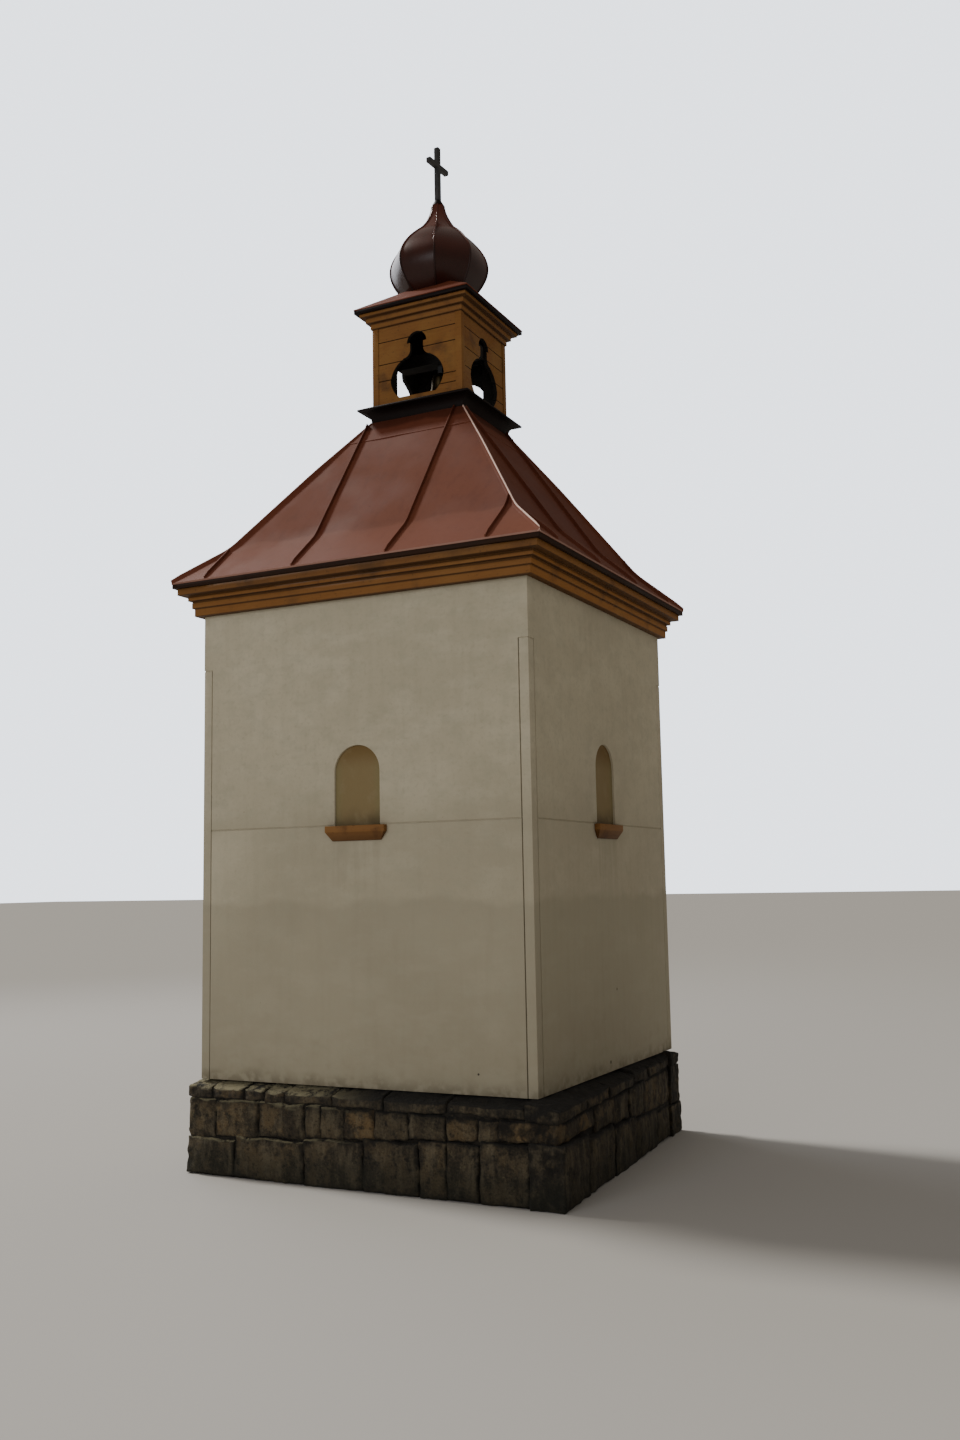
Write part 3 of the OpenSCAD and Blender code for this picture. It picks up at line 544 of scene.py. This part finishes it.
plinth = {
    # corners of the courses: front left, front right, back right, back left
    "lower": ((-1.296, -1.350), (1.481, -1.3975), (1.296, 1.296), (-1.481, 1.3435)),
    "middle": ((-1.288, -1.342), (1.438, -1.372), (1.288, 1.288), (-1.438, 1.318)),
    "top": ((-1.296, -1.350), (1.446, -1.380), (1.296, 1.296), (-1.446, 1.326)),
    "wallHalf": 1.25, "innerHalf": 0.95,
    "joint": 0.004, "inset": 0.002, "rounding": 0.009, "uneven": 0.009, "hollow": 0.011, "chip": 0.008,
    "setBack": 0.008, "belly": 0.013,
    # how far the next side's corner stone reaches into each side
    "cornerReturns": {"lower": (0.24, 0.30, 0.24, 0.26), "middle": (0.40, 0.24, 0.26, 0.24),
                      "top": (0.24, 0.26, 0.24, 0.28)},
    # darkness and warmth of the stones that show in the photo, the corner stone first
    "tones": {
        "lower": (((0.4, 0.0), (0.3, 0.2), (0.5, 0.0), (0.7, 0.1), (0.5, 0.3), (0.8, 0.0), (0.6, 0.2)),
                  ((0.9, 0.0), (1.0, 0.0), (0.8, 0.2), (1.0, 0.0), (0.7, 0.3))),
        "middle": (((0.2, 0.1), (0.1, 0.6), (0.35, 0.5), (0.8, 0.0), (0.7, 0.2), (0.1, 0.8), (0.7, 0.0),
                    (0.9, 0.0), (0.3, 0.6), (0.6, 0.3)),
                   ((0.2, 0.9), (0.6, 0.5), (1.0, 0.1), (1.0, 0.1), (0.5, 0.7))),
        "top": (((0.4, 0.1), (0.1, 0.4), (0.3, 0.3), (0.2, 0.2), (0.5, 0.1), (0.8, 0.0), (0.7, 0.1),
                 (0.9, 0.0)),
                ((0.6, 0.0), (0.3, 0.5), (0.8, 0.0), (1.0, 0.0), (0.6, 0.3), (0.3, 0.4))),
    },
    # joints from the left end of each side, as it is seen from outside
    "topJoints": ((0.205, 0.466, 0.629, 0.788, 1.148, 1.53, 1.978),
                  (0.52, 0.98, 1.52, 1.86, 2.20), (0.40, 0.86, 1.30, 1.74, 2.26),
                  (0.36, 0.90, 1.32, 1.90, 2.16)),
    "middleJoints": ((0.223, 0.571, 0.928, 1.051, 1.23, 1.451, 1.70, 1.964, 2.178),
                     (0.66, 1.08, 1.40, 1.74), (0.35, 0.66, 1.02, 1.26, 1.60, 1.98, 2.36),
                     (0.42, 0.70, 1.12, 1.46, 1.80, 2.24)),
    "lowerJoints": ((0.39, 0.94, 1.39, 1.79, 1.98, 2.20), (0.48, 1.02, 1.50, 2.05),
                    (0.44, 1.00, 1.62, 2.10), (0.50, 1.08, 1.60, 2.16)),
    # height of the joint over the lowest course at the two ends of each side
    "bedHeights": ((0.235, 0.375), (0.385, 0.20), (0.21, 0.27), (0.28, 0.235)),
    "ledge": 0.495, "faceTop": 0.566, "crest": 0.604, "topDepth": 1.20,
    # mortar behind each course: how far back, foot and top
    "mortar": {"lower": (0.031, 0.0, 0.25), "middle": (0.028, 0.15, 0.50), "top": (0.032, 0.45, 0.556)},
    "reach": (1.4805, 1.4180), "cuts": 17, "seed": 100,
}


def pointAlong(corners, side, distance):
    start = Vector(corners[side])
    end = Vector(corners[(side + 1) % 4])
    return start + (end - start).normalized() * distance


def sideLength(corners, side):
    return (Vector(corners[(side + 1) % 4]) - Vector(corners[side])).length


def makeBlock(cuts):
    # a finely divided cube, which every stone starts from
    bm = bmesh.new()
    bmesh.ops.create_cube(bm, size=2.0)
    bmesh.ops.subdivide_edges(bm, edges=bm.edges, cuts=cuts, use_grid_fill=True)
    return meshFrom(bm, "block of stone")


noise.seed_set(plinth["seed"])     # the hollows and chips come out the same each time
roughBlock = makeBlock(plinth["cuts"])


def addStone(bm, plan, heights, seed, tone=None):
    # plan: outer start, outer end, inner end, inner start; heights: bottom, outer top, inner top
    random.seed(seed)
    tint, warmth = tone or (random.random(), max(0.0, random.random() * 1.4 - 0.7))
    lean = [random.uniform(-1, 1) * plinth["uneven"] for _ in range(4)]
    laid = len(bm.verts)
    bm.from_mesh(roughBlock)
    bm.verts.ensure_lookup_table()
    verts = bm.verts[laid:]
    # no face lies quite flush with the next
    back = random.random() * plinth["setBack"]
    plan = [p + (q - p).normalized() * (back + random.uniform(0, 0.004))
            for p, q in ((plan[0], plan[3]), (plan[1], plan[2]))] + plan[2:]
    half = Vector(((plan[1] - plan[0]).length, (plan[3] - plan[0]).length, heights[1] - heights[0])) / 2
    radius = min(plinth["rounding"] * random.uniform(0.7, 1.8), *(half * 0.6))
    belly = plinth["belly"] * random.uniform(0.4, 1.2)
    inward = (plan[3] - plan[0]).normalized()
    shade, heat, rim = [bm.verts.layers.float[name] for name in stoneLayers]
    for vert in verts:
        # closer points near the edges, which are rounded to one radius
        spot = Vector([math.sin(c * math.pi / 2) * h for c, h in zip(vert.co, half)])
        core = Vector([max(radius - h, min(h - radius, c)) for c, h in zip(spot, half)])
        away = spot - core
        if away.length > radius:
            spot = core + away.normalized() * radius
        share = [(c / h + 1) / 2 for c, h in zip(spot, half)]
        flat = plan[0].lerp(plan[1], share[0]).lerp(plan[3].lerp(plan[2], share[0]), share[1])
        # a hewn face bellies out between its joints
        edge = 1 - (1 - (spot.x / half.x) ** 6) * (1 - (spot.z / half.z) ** 4)
        flat += inward * belly * edge * (1 - share[1])
        top = heights[1] + (heights[2] - heights[1]) * share[1] + lean[0] + (lean[1] - lean[0]) * share[0]
        foot = heights[0] + lean[2] + (lean[3] - lean[2]) * share[0]
        vert.co = (flat.x, flat.y, foot + (top - foot) * share[2])
        broad = noise.noise_vector(vert.co * 7.0 + Vector((seed * 1.7, 0, 0)))
        chips = noise.noise_vector(vert.co * 24.0 + Vector((0, seed * 1.3, 0)))
        vert.co += broad * plinth["hollow"] + chips * plinth["chip"]
        vert[shade], vert[heat], vert[rim] = tint, warmth, edge


def bedAt(side, share):
    start, end = plinth["bedHeights"][side]
    return start + (end - start) * share


def insetCorners(course, inset):
    return [Vector(corner) * (1 - inset / plinth["wallHalf"]) for corner in plinth[course]]


def layCourse(bm, side, course, depthTo, heightsAt, seed):
    # one side's stones; the first turns the corner and bonds into the side before
    corners = insetCorners(course, plinth["inset"])
    gap, returns = plinth["joint"] / 2, plinth["cornerReturns"][course]
    length = sideLength(corners, side)
    ends = [0.0, *plinth[course + "Joints"][side], length - returns[side]]
    inward = (turned(side) @ Vector((0, 1, 0))).to_2d()
    before = (side + 3) % 4
    tones = plinth["tones"][course][side] if side < 2 else [None] * len(ends)
    for i in range(len(ends) - 1):
        outerEnd = pointAlong(corners, side, ends[i + 1] - gap)
        if i == 0:
            outerStart = corners[side]
            innerStart = pointAlong(corners, before, sideLength(corners, before) - returns[before] + gap)
            innerEnd = outerEnd + (innerStart - outerStart)
        else:
            outerStart = pointAlong(corners, side, ends[i] + gap)
            innerStart = outerStart + inward * (abs(outerStart @ inward) - depthTo)
            innerEnd = outerEnd + inward * (abs(outerEnd @ inward) - depthTo)
        heights = heightsAt((ends[i] + ends[i + 1]) / 2 / length)
        addStone(bm, [outerStart, outerEnd, innerEnd, innerStart], heights, seed + i, tones[i])


def addMortar(bm, side, course, inset, foot, top):
    # mortar and rubble behind the stones, set back from their faces
    corners = insetCorners(course, inset)
    inner = [Vector(sign) * plinth["innerHalf"] for sign in ((-1, -1), (1, -1), (1, 1), (-1, 1))]
    plan = [corners[side], corners[(side + 1) % 4], inner[(side + 1) % 4], inner[side]]
    for vert in bmesh.ops.create_cube(bm, size=1.0)["verts"]:
        outer, last = vert.co.y < 0, vert.co.x > 0
        flat = plan[(1 if last else 0) if outer else (2 if last else 3)]
        vert.co = (flat.x, flat.y, foot if vert.co.z < 0 else top)
        for face in vert.link_faces:
            face.material_index = 1


def makePlinth(side):
    bm = bmesh.new()
    for layer in stoneLayers:
        bm.verts.layers.float.new(layer)
    gap, deep, ledge = plinth["joint"] / 2, plinth["innerHalf"], plinth["ledge"]
    seed = plinth["seed"] + 40 * side
    layCourse(bm, side, "lower", deep, lambda share: [0.0] + [bedAt(side, share) - gap] * 2, seed)
    layCourse(bm, side, "middle", deep, lambda share: [bedAt(side, share) + gap] + [ledge - gap] * 2,
              seed + 200)
    layCourse(bm, side, "top", plinth["topDepth"],
              lambda share: [ledge + gap, plinth["faceTop"], plinth["crest"]], seed + 400)
    for course, limits in plinth["mortar"].items():
        addMortar(bm, side, course, *limits)
    keepInside(bm, *plinth["reach"])
    bmesh.ops.recalc_face_normals(bm, faces=bm.faces)
    name = sideNames[side]
    finishPiece(bm, "plinth_stones_" + name, [stone, mortar], ["plinth_" + name], 50)


for side in range(4):
    makePlinth(side)
print("plinth laid")


# plastered walls, corner strips and sills

walls = {"half": 1.25, "arris": 0.0025,
         "nicheHalf": 0.175, "nicheFoot": 2.26, "nicheTop": 2.84, "nicheDepth": 0.018}
strips = {"outer": 1.243, "raised": 0.0035, "arris": 0.0025, "headGap": 0.0058,
          "fillingBack": 0.0045, "fillingLow": 0.03}


def makeWalls():
    bm = bmesh.new()
    for name in sideNames:
        bm.from_mesh(cadNodes[name + "_wall"].data)
    # without the mitres between the walls the plaster runs round the corners
    mitres = [f for f in bm.faces if abs(abs(f.normal.x) - abs(f.normal.y)) < 0.02 and abs(f.normal.z) < 0.02]
    bmesh.ops.delete(bm, geom=mitres, context="FACES_ONLY")
    bmesh.ops.remove_doubles(bm, verts=bm.verts, dist=0.00005)
    bmesh.ops.delete(bm, geom=[v for v in bm.verts if not v.link_faces], context="VERTS")
    bmesh.ops.dissolve_limit(bm, angle_limit=math.radians(0.6), verts=bm.verts, edges=bm.edges)
    softenEdges(bm, walls["arris"])
    for face in bm.faces:
        centre = face.calc_center_median()
        reach, along = max(abs(centre.x), abs(centre.y)), min(abs(centre.x), abs(centre.y))
        inside = abs(walls["half"] - walls["nicheDepth"] - reach) < 0.003
        if inside and along < walls["nicheHalf"] and walls["nicheFoot"] < centre.z < walls["nicheTop"]:
            face.material_index = 1
    finishPiece(bm, "plaster_walls", [plaster, niche], [name + "_wall" for name in sideNames])


def pushOut(verts, amount):
    for vert in verts:
        for axis in (0, 1):
            if abs(vert.co[axis]) > strips["outer"]:
                vert.co[axis] += amount * math.copysign(1, vert.co[axis])


def makeStrip(corner):
    # a strip lies almost flush, and plaster nearly fills the joint over its head
    bm = nodeCopy("corner_strip_" + corner)
    pushOut(bm.verts, strips["raised"])
    head = max(vert.co.z for vert in bm.verts)
    filling = bm.copy()
    softenEdges(bm, strips["arris"], 3)
    for vert in filling.verts:
        vert.co.z = head + strips["headGap"] if vert.co.z > head - 0.01 else head - strips["fillingLow"]
    pushOut(filling.verts, -strips["fillingBack"])
    bm.from_mesh(meshFrom(filling, "filling"))
    finishPiece(bm, "plaster_strip_" + corner, [plaster], ["corner_strip_" + corner])


makeWalls()
for corner in ("front_right", "back_right", "back_left", "front_left"):
    makeStrip(corner)
for name in sideNames:
    softened(name + "_sill", "sill_block_" + name, sillPaint, 0.003)
    softened("cornice_" + name, "cornice_boards_" + name, cornicePaints[name == "right"], 0.002)
print("walls plastered")


# sheet roof

roof = {
    "eave": (1.415, 4.015), "kink": (1.120, 4.27144), "skirtFoot": (0.385, 5.32113),
    "lip": 0.012, "soffit": (1.386, 3.990), "shell": (0.02, 0.03), "foldHalf": 0.06, "dent": 0.003,
    "sheetSteps": (6, 6, 22), "seamSteps": (5, 5, 12),
    "seamPlaces": (-1.1275, -0.4025, 0.3225, 1.0475), "seamHeight": 0.025, "seamWidth": 0.008,
    "seamsEnd": 1.418, "hipWidth": 0.008, "hipTaperFrom": 4.9, "hipTaper": 0.75,
    "highlightEdge": 0.0055, "highlightFlank": 0.0085,       # faces of the hip caps up to this width get the pale painted highlight
    "lockHalf": 0.510,
}


def roofProfile(steps):
    # outer line of the roof from the eaves up, with a rounded fold at the kink
    eave, kink, top = (Vector(roof[name]) for name in ("eave", "kink", "skirtFoot"))
    below = kink + (eave - kink).normalized() * roof["foldHalf"]
    above = kink + (top - kink).normalized() * roof["foldHalf"]
    last = top + (top - kink).normalized() * 0.03
    line = [eave.lerp(below, i / steps[0]) for i in range(steps[0])]
    for i in range(steps[1]):
        share = i / steps[1]
        line.append(below.lerp(kink, share).lerp(kink.lerp(above, share), share))
    return line + [above.lerp(last, i / steps[2]) for i in range(steps[2] + 1)]


def makeRoofSheets():
    outer = roofProfile(roof["sheetSteps"])
    inner = [p - Vector(roof["shell"]) for p in reversed(outer[1:])]
    soffit, lipFoot = Vector(roof["soffit"]), roof["eave"][1] - roof["lip"]
    profile = outer + inner + [soffit, Vector((soffit.x, lipFoot)), Vector((roof["eave"][0], lipFoot))]
    rows, columns = len(profile), 56
    bm = bmesh.new()
    for side in range(4):
        for vert in bmesh.ops.create_grid(bm, x_segments=columns, y_segments=rows, size=1.0)["verts"]:
            share = vert.co.x
            row = round((vert.co.y + 1) / 2 * rows) % rows
            reach, height = profile[row]
            spot = Vector((share * reach, -reach, height))
            if 0 < row < len(outer):
                # shallow dents between the seams, none at the hips
                flat = min(1.0, (1 - abs(share)) * reach / 0.12)
                dent = noise.noise((spot.x * 3.1, spot.z * 2.4, side * 7.3))
                spot += Vector((0, -0.6, 0.8)) * flat * roof["dent"] * dent
            vert.co = turned(side) @ spot
    bmesh.ops.remove_doubles(bm, verts=bm.verts, dist=1e-5)
    bmesh.ops.recalc_face_normals(bm, faces=bm.faces)
    for face in bm.faces:
        # the folded edge at the eaves is painted pale, a painted highlight where the light catches the fold
        centre = face.calc_center_median()
        if centre.z < roof["eave"][1] and max(abs(centre.x), abs(centre.y)) > roof["eave"][0] - 0.002:
            face.material_index = 1
    finishPiece(bm, "roof_sheets", [roofPaint, foldHighlightPaint],
                ["roof_" + name for name in sideNames], 25)


def upTheRoof(line):
    # points up the roof, stopped at the skirt, each with the slope there
    top = Vector(roof["skirtFoot"])
    return [(top if point.y > top.y else point, line[min(i + 1, len(line) - 1)] - line[max(i - 1, 0)])
            for i, point in enumerate(line)]


def makeStandingSeams():
    # each is folded over at the top
    wide, high = roof["seamWidth"] / 2, roof["seamHeight"]
    fold = [(-wide * 2.4, -0.004), (-wide * 0.8, 0.004), (-wide * 0.8, high - 0.010),
            (-wide * 1.3, high - 0.006), (-wide * 1.3, high), (wide * 0.8, high), (wide * 0.8, 0.004),
            (wide * 2.4, -0.004)]
    line = roofProfile(roof["seamSteps"])
    bm = bmesh.new()
    for side in range(4):
        for place in roof["seamPlaces"]:
            hip = abs(place)
            path = []
            for point, slope in upTheRoof(line):
                up = Vector((0, -slope.y, -slope.x)).normalized()
                if point.x > hip + 0.004:
                    sway = 0.003 * noise.noise((point.y * 2.2, place * 5, side))
                    centre = Vector((place + sway, -point.x, point.y)) - up * 0.002
                    path.append(onSide(side, centre, Vector((1, 0, 0)), up))
            # each seam ends where it meets the hip or the skirt
            if hip > roof["skirtFoot"][0]:
                above = next(p for p in line if p.x <= hip + 0.004)
                under = [p for p in line if p.x > hip + 0.004][-1]
                end = under.lerp(above, (under.x - hip) / (under.x - above.x))
                path.append((turned(side) @ Vector((place, -end.x, end.y)), *path[-1][1:]))
            sweep(bm, path, fold)
    keepInside(bm, roof["seamsEnd"], roof["seamsEnd"])
    finishPiece(bm, "roof_standing_seams", [roofPaint], (), 30)


def makeHipCaps():
    # a folded cap on each hip, painted pale along its top edge and on the flank that faces the light from the
    # left, as a painted highlight
    wide, high = roof["hipWidth"] / 2, roof["seamHeight"]
    taperFrom = roof["hipTaperFrom"]
    half = [(-wide * 3.2, -0.012), (-wide, 0.004), (-wide, high * 0.6), (-wide, high - 0.003),
            (-wide * 0.6, high)]
    fold = half + [(-across, rise) for across, rise in reversed(half)]
    bm = bmesh.new()
    for side in range(4):
        path = []
        for point, slope in upTheRoof(roofProfile(roof["seamSteps"])):
            up = Vector((slope.y, -slope.y, -2 * slope.x)).normalized()
            sunk = max(0.0, (point.y - taperFrom) / (roof["skirtFoot"][1] - taperFrom)) * roof["hipTaper"]
            centre = Vector((point.x, -point.x, point.y)) - up * high * sunk
            path.append(onSide(side, centre, Vector((1, 1, 0)).normalized(), up))
        sweep(bm, path, fold)
    keepInside(bm, roof["seamsEnd"], roof["seamsEnd"])
    bm.normal_update()
    for face in bm.faces:
        width = min(e.calc_length() for e in face.edges)
        # painted highlight: the narrow top faces, and the narrow flank faces that look left towards the light
        if width < roof["highlightEdge"] or (width < roof["highlightFlank"] and face.normal.x < -0.5):
            face.material_index = 1
    finishPiece(bm, "roof_hip_caps", [roofPaint, hipCapHighlightPaint], ["hip_seams"], 30)


def makeLockSeam():
    # the sheets are joined across the slope by one flat seam
    bm = bmesh.new()
    half, kink = roof["lockHalf"], Vector(roof["kink"])
    upper = Vector(roof["skirtFoot"]) - kink
    height = kink.y + (kink.x - half) / (kink.x - roof["skirtFoot"][0]) * upper.y
    up, along = Vector((0, -upper.y, -upper.x)).normalized(), Vector((0, upper.x, -upper.y)).normalized()
    for side in range(4):
        path = []
        for i in range(25):
            x = -half + 2 * half * i / 24
            sag = 0.003 * noise.noise((x * 6, side * 3.0, 0))
            path.append(onSide(side, Vector((x, -half, height)) + along * sag, along, up))
        sweep(bm, path, [(-0.008, -0.004), (-0.008, 0.003), (0.006, 0.004), (0.009, -0.004)])
    finishPiece(bm, "roof_lock_seam", [roofPaint], (), 30)


makeRoofSheets()
makeStandingSeams()
makeHipCaps()
makeLockSeam()
softened("eaves_drip_edge", "eaves_drip_strip", eavesPaint, 0.003)
print("roof covered")


# lantern

lantern = {
    "gap": 0.006, "arris": 0.0015, "bareBehind": -0.3435, "bareHalf": 0.30,
    # board joints of each side: height and the half of the side that it crosses
    "joints": (((5.940, -1), (5.765, -1), (5.636, -1), (5.962, 1), (5.840, 1), (5.600, 1), (5.525, 1)),
               ((5.955, -1), (5.800, -1), (5.655, -1), (5.935, 1), (5.820, 1), (5.690, 1), (5.560, 1)),
               ((5.930, -1), (5.780, -1), (5.610, -1), (5.950, 1), (5.810, 1), (5.670, 1), (5.540, 1)),
               ((5.945, -1), (5.790, -1), (5.640, -1), (5.925, 1), (5.770, 1), (5.620, 1), (5.530, 1))),
}


def makeBoards(side):
    name = "lantern_" + sideNames[side]
    bm = nodeCopy(name)
    bmesh.ops.rotate(bm, verts=bm.verts, cent=(0, 0, 0), matrix=turned(-side).to_3x3())
    bmesh.ops.bisect_plane(bm, geom=[*bm.verts, *bm.edges, *bm.faces], plane_co=(0, 0, 0), plane_no=(1, 0, 0))
    gap = lantern["gap"] / 2
    for height, half in lantern["joints"][side]:
        for level in (height - gap, height + gap):
            faces = [f for f in bm.faces if f.calc_center_median().x * half > 0]
            around = {e for f in faces for e in f.edges} | {v for f in faces for v in f.verts}
            bmesh.ops.bisect_plane(bm, geom=[*faces, *around], plane_co=(0, 0, level), plane_no=(0, 0, 1))
        between = [f for f in bm.faces if f.calc_center_median().x * half > 0
                   and all(abs(v.co.z - height) < gap * 1.2 for v in f.verts)]
        bmesh.ops.delete(bm, geom=between, context="FACES")
        bmesh.ops.holes_fill(bm, edges=[e for e in bm.edges if e.is_boundary], sides=0)
    softenEdges(bm, lantern["arris"], 1, 40)
    bm.normal_update()
    for face in bm.faces:
        # the inner faces, the sawn edges of the opening and the joints are bare wood, painted near black as
        # shade
        centre = face.calc_center_median()
        sawn = abs(face.normal.y) < 0.5 and abs(centre.x) < lantern["bareHalf"]
        if centre.y > lantern["bareBehind"] or sawn:
            face.material_index = 1
    bmesh.ops.rotate(bm, verts=bm.verts, cent=(0, 0, 0), matrix=turned(side).to_3x3())
    finishPiece(bm, "lantern_boards_" + sideNames[side], [boardPaint, shadedBareWood], [name])


for side in range(4):
    makeBoards(side)
softened("lantern_battens", "lantern_corner_battens", boardPaint, 0.0015)
softened("lantern_cornice", "lantern_mouldings", boardPaint, 0.002)
softened("lantern_skirt", "lantern_skirt_sheet", darkPaint, 0.002)
softened("cap_drip_edge", "cap_drip_strip", darkPaint, 0.002)
softened("cap_roof", "cap_sheets", capPaint, 0.003)
paintNodes(shadedBareWood, "lantern_floor", "lantern_posts", "lantern_ceiling", "bell_beam")
print("lantern boarded")


# the small bell under its beam

bell = {
    # outline of the outside from the lip to the crown: radius and height above the lip, in mm
    "outline": ((120, 0), (124, 5), (121, 14), (110, 29), (96, 53), (83, 87), (76, 119), (69, 160),
                (66, 192), (61, 209), (51, 224), (33, 236), (20, 243)),
    "lip": 5.52813, "wall": 0.008, "strapHalf": (0.018, 0.009), "strapFoot": 0.235,
}


def makeBell():
    outline = [Vector((radius / 1000, 0, height / 1000)) for radius, height in bell["outline"]]
    inside = [point - Vector((bell["wall"], 0, 0)) for point in outline[:-3]]
    line = [*reversed(inside), *outline, Vector((0, 0, outline[-1].z))]
    bm = bmesh.new()
    verts = [bm.verts.new(point + Vector((0, 0, bell["lip"]))) for point in line]
    edges = [bm.edges.new(pair) for pair in zip(verts, verts[1:])]
    bmesh.ops.spin(bm, geom=verts + edges, cent=(0, 0, 0), axis=(0, 0, 1), angle=math.tau, steps=48,
                   use_merge=True, use_duplicate=False)
    closeUp(bm, bm.verts)
    # the iron strap that hangs it from the beam
    foot, top = bell["lip"] + bell["strapFoot"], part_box("bell_beam")[0].z
    halfWidth, halfDepth = bell["strapHalf"]
    for vert in bmesh.ops.create_cube(bm, size=1.0)["verts"]:
        vert.co = (math.copysign(halfWidth, vert.co.x), math.copysign(halfDepth, vert.co.y),
                   top if vert.co.z > 0 else foot)
        for face in vert.link_faces:
            face.material_index = 1
    finishPiece(bm, "bell_casting", [bronze, iron], ["bell"], 40)


makeBell()
print("bell hung")


# onion dome, its seams, collar and cross

dome = {
    "foot": 6.35926, "footRadius": 0.255, "bellyRadius": 0.378, "bellyHeight": 0.237,
    "shoulderRadius": 0.178, "shoulderHeight": 0.531, "neckRadius": 0.045, "height": 0.771,
    "shoulderLean": 38.5, "bulge": 0.006, "dent": 0.0022, "seam": 0.008,
    "collarRim": 0.003, "collarTop": 0.029, "collarWaist": 0.95, "frill": 0.05,
}


def bezierLine(points, steps):
    return [sum((Vector(p) * c for p, c in zip(points, (
        (1 - t) ** 3, 3 * (1 - t) ** 2 * t, 3 * (1 - t) * t * t, t ** 3))), Vector((0, 0)))
        for t in (i / steps for i in range(steps + 1))]


def domeProfile(steps):
    foot = Vector((dome["footRadius"], 0))
    belly = Vector((dome["bellyRadius"], dome["bellyHeight"]))
    shoulder = Vector((dome["shoulderRadius"], dome["shoulderHeight"]))
    neck = Vector((dome["neckRadius"], dome["height"]))
    angle = math.radians(dome["shoulderLean"])
    lean = Vector((math.cos(angle), -math.sin(angle)))
    upper = dome["shoulderHeight"] - dome["bellyHeight"]
    last = dome["height"] - dome["shoulderHeight"]
    grow = dome["bellyRadius"] - dome["footRadius"]
    line = bezierLine((foot, foot + Vector((0.44, 0.49)) * grow,
                       belly - Vector((0, 0.4 * dome["bellyHeight"])), belly), steps)
    line += bezierLine((belly, belly + Vector((0, 0.37 * upper)), shoulder + lean * 0.41 * upper,
                        shoulder), steps)[1:]
    return line + bezierLine((shoulder, shoulder - lean * 0.29 * last,
                              neck - Vector((-0.005, 0.37 * last)), neck), steps)[1:]


def makeDomePanels():
    line = domeProfile(14)
    rows, around, halfPanel = len(line) - 1, 8 * 8, 22.5
    bm = bmesh.new()
    for vert in bmesh.ops.create_grid(bm, x_segments=around, y_segments=rows, size=1.0)["verts"]:
        step = round((vert.co.x + 1) / 2 * around) % around
        radius, height = line[round((vert.co.y + 1) / 2 * rows)]
        turn = math.radians(halfPanel + 360 * step / around)
        off = (step % 8) / 8 * 45 - halfPanel             # degrees from the middle of the panel
        flat = radius * math.cos(math.radians(halfPanel)) / math.cos(math.radians(off))
        pillow = (1 - (off / halfPanel) ** 2) * radius / dome["bellyRadius"]
        dent = noise.noise((math.cos(turn) * 1.3, math.sin(turn) * 1.3, height * 7))
        flat += pillow * (dome["bulge"] + dome["dent"] * dent)
        vert.co = (flat * math.cos(turn), flat * math.sin(turn), dome["foot"] + height)
    closeUp(bm, bm.verts)
    finishPiece(bm, "dome_panels", [domePaint], ["onion_dome"], 30)


def makeDomeSeams():
    line = domeProfile(14)
    size = dome["seam"]
    section = [(-size * 0.9, -0.004), (-size * 0.45, size * 0.4), (-size * 0.35, size), (size * 0.35, size),
               (size * 0.45, size * 0.4), (size * 0.9, -0.004)]
    bm = bmesh.new()
    for i in range(8):
        turn = math.radians(22.5 + 45 * i)
        out = Vector((math.cos(turn), math.sin(turn), 0))
        across = Vector((-math.sin(turn), math.cos(turn), 0))
        path = []
        for j, (radius, height) in enumerate(line):
            slope = line[min(j + 1, len(line) - 1)] - line[max(j - 1, 0)]
            up = (out * slope.y - Vector((0, 0, slope.x))).normalized()
            sway = 0.004 * noise.noise((i * 5.1, height * 9, 0)) * min(1, height * 6)
            path.append((out * radius + across * sway + Vector((0, 0, dome["foot"] + height)), across, up))
        sweep(bm, path, section)
    finishPiece(bm, "dome_arris_seams", [domeSeamPaint], ["dome_seams"], 30)


def makeNeckCollar():
    # cut and folded sheet that closes the neck round the cross
    bm = bmesh.new()
    low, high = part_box("neck_collar")
    bmesh.ops.create_cone(bm, cap_ends=True, cap_tris=False, segments=24, radius1=high.x - dome["collarRim"],
                          radius2=dome["collarTop"], depth=high.z - low.z)
    sides = [e for e in bm.edges if abs(e.verts[0].co.z - e.verts[1].co.z) > 0.01]
    bmesh.ops.subdivide_edges(bm, edges=sides, cuts=4)
    for vert in bm.verts:
        turn = math.atan2(vert.co.y, vert.co.x)
        share = 0.5 - vert.co.z / (high.z - low.z)
        frill = math.sin(8 * turn) + noise.noise((turn * 2, 3, 1))
        wide = dome["collarWaist"] + dome["frill"] * share * frill
        vert.co.x *= wide
        vert.co.y *= wide
        vert.co.z += (low.z + high.z) / 2
    finishPiece(bm, "neck_collar_sheet", [darkPaint], ["neck_collar"], 40)


makeDomePanels()
makeDomeSeams()
makeNeckCollar()
paintNodes(iron, "cross")
print("dome and cross done")
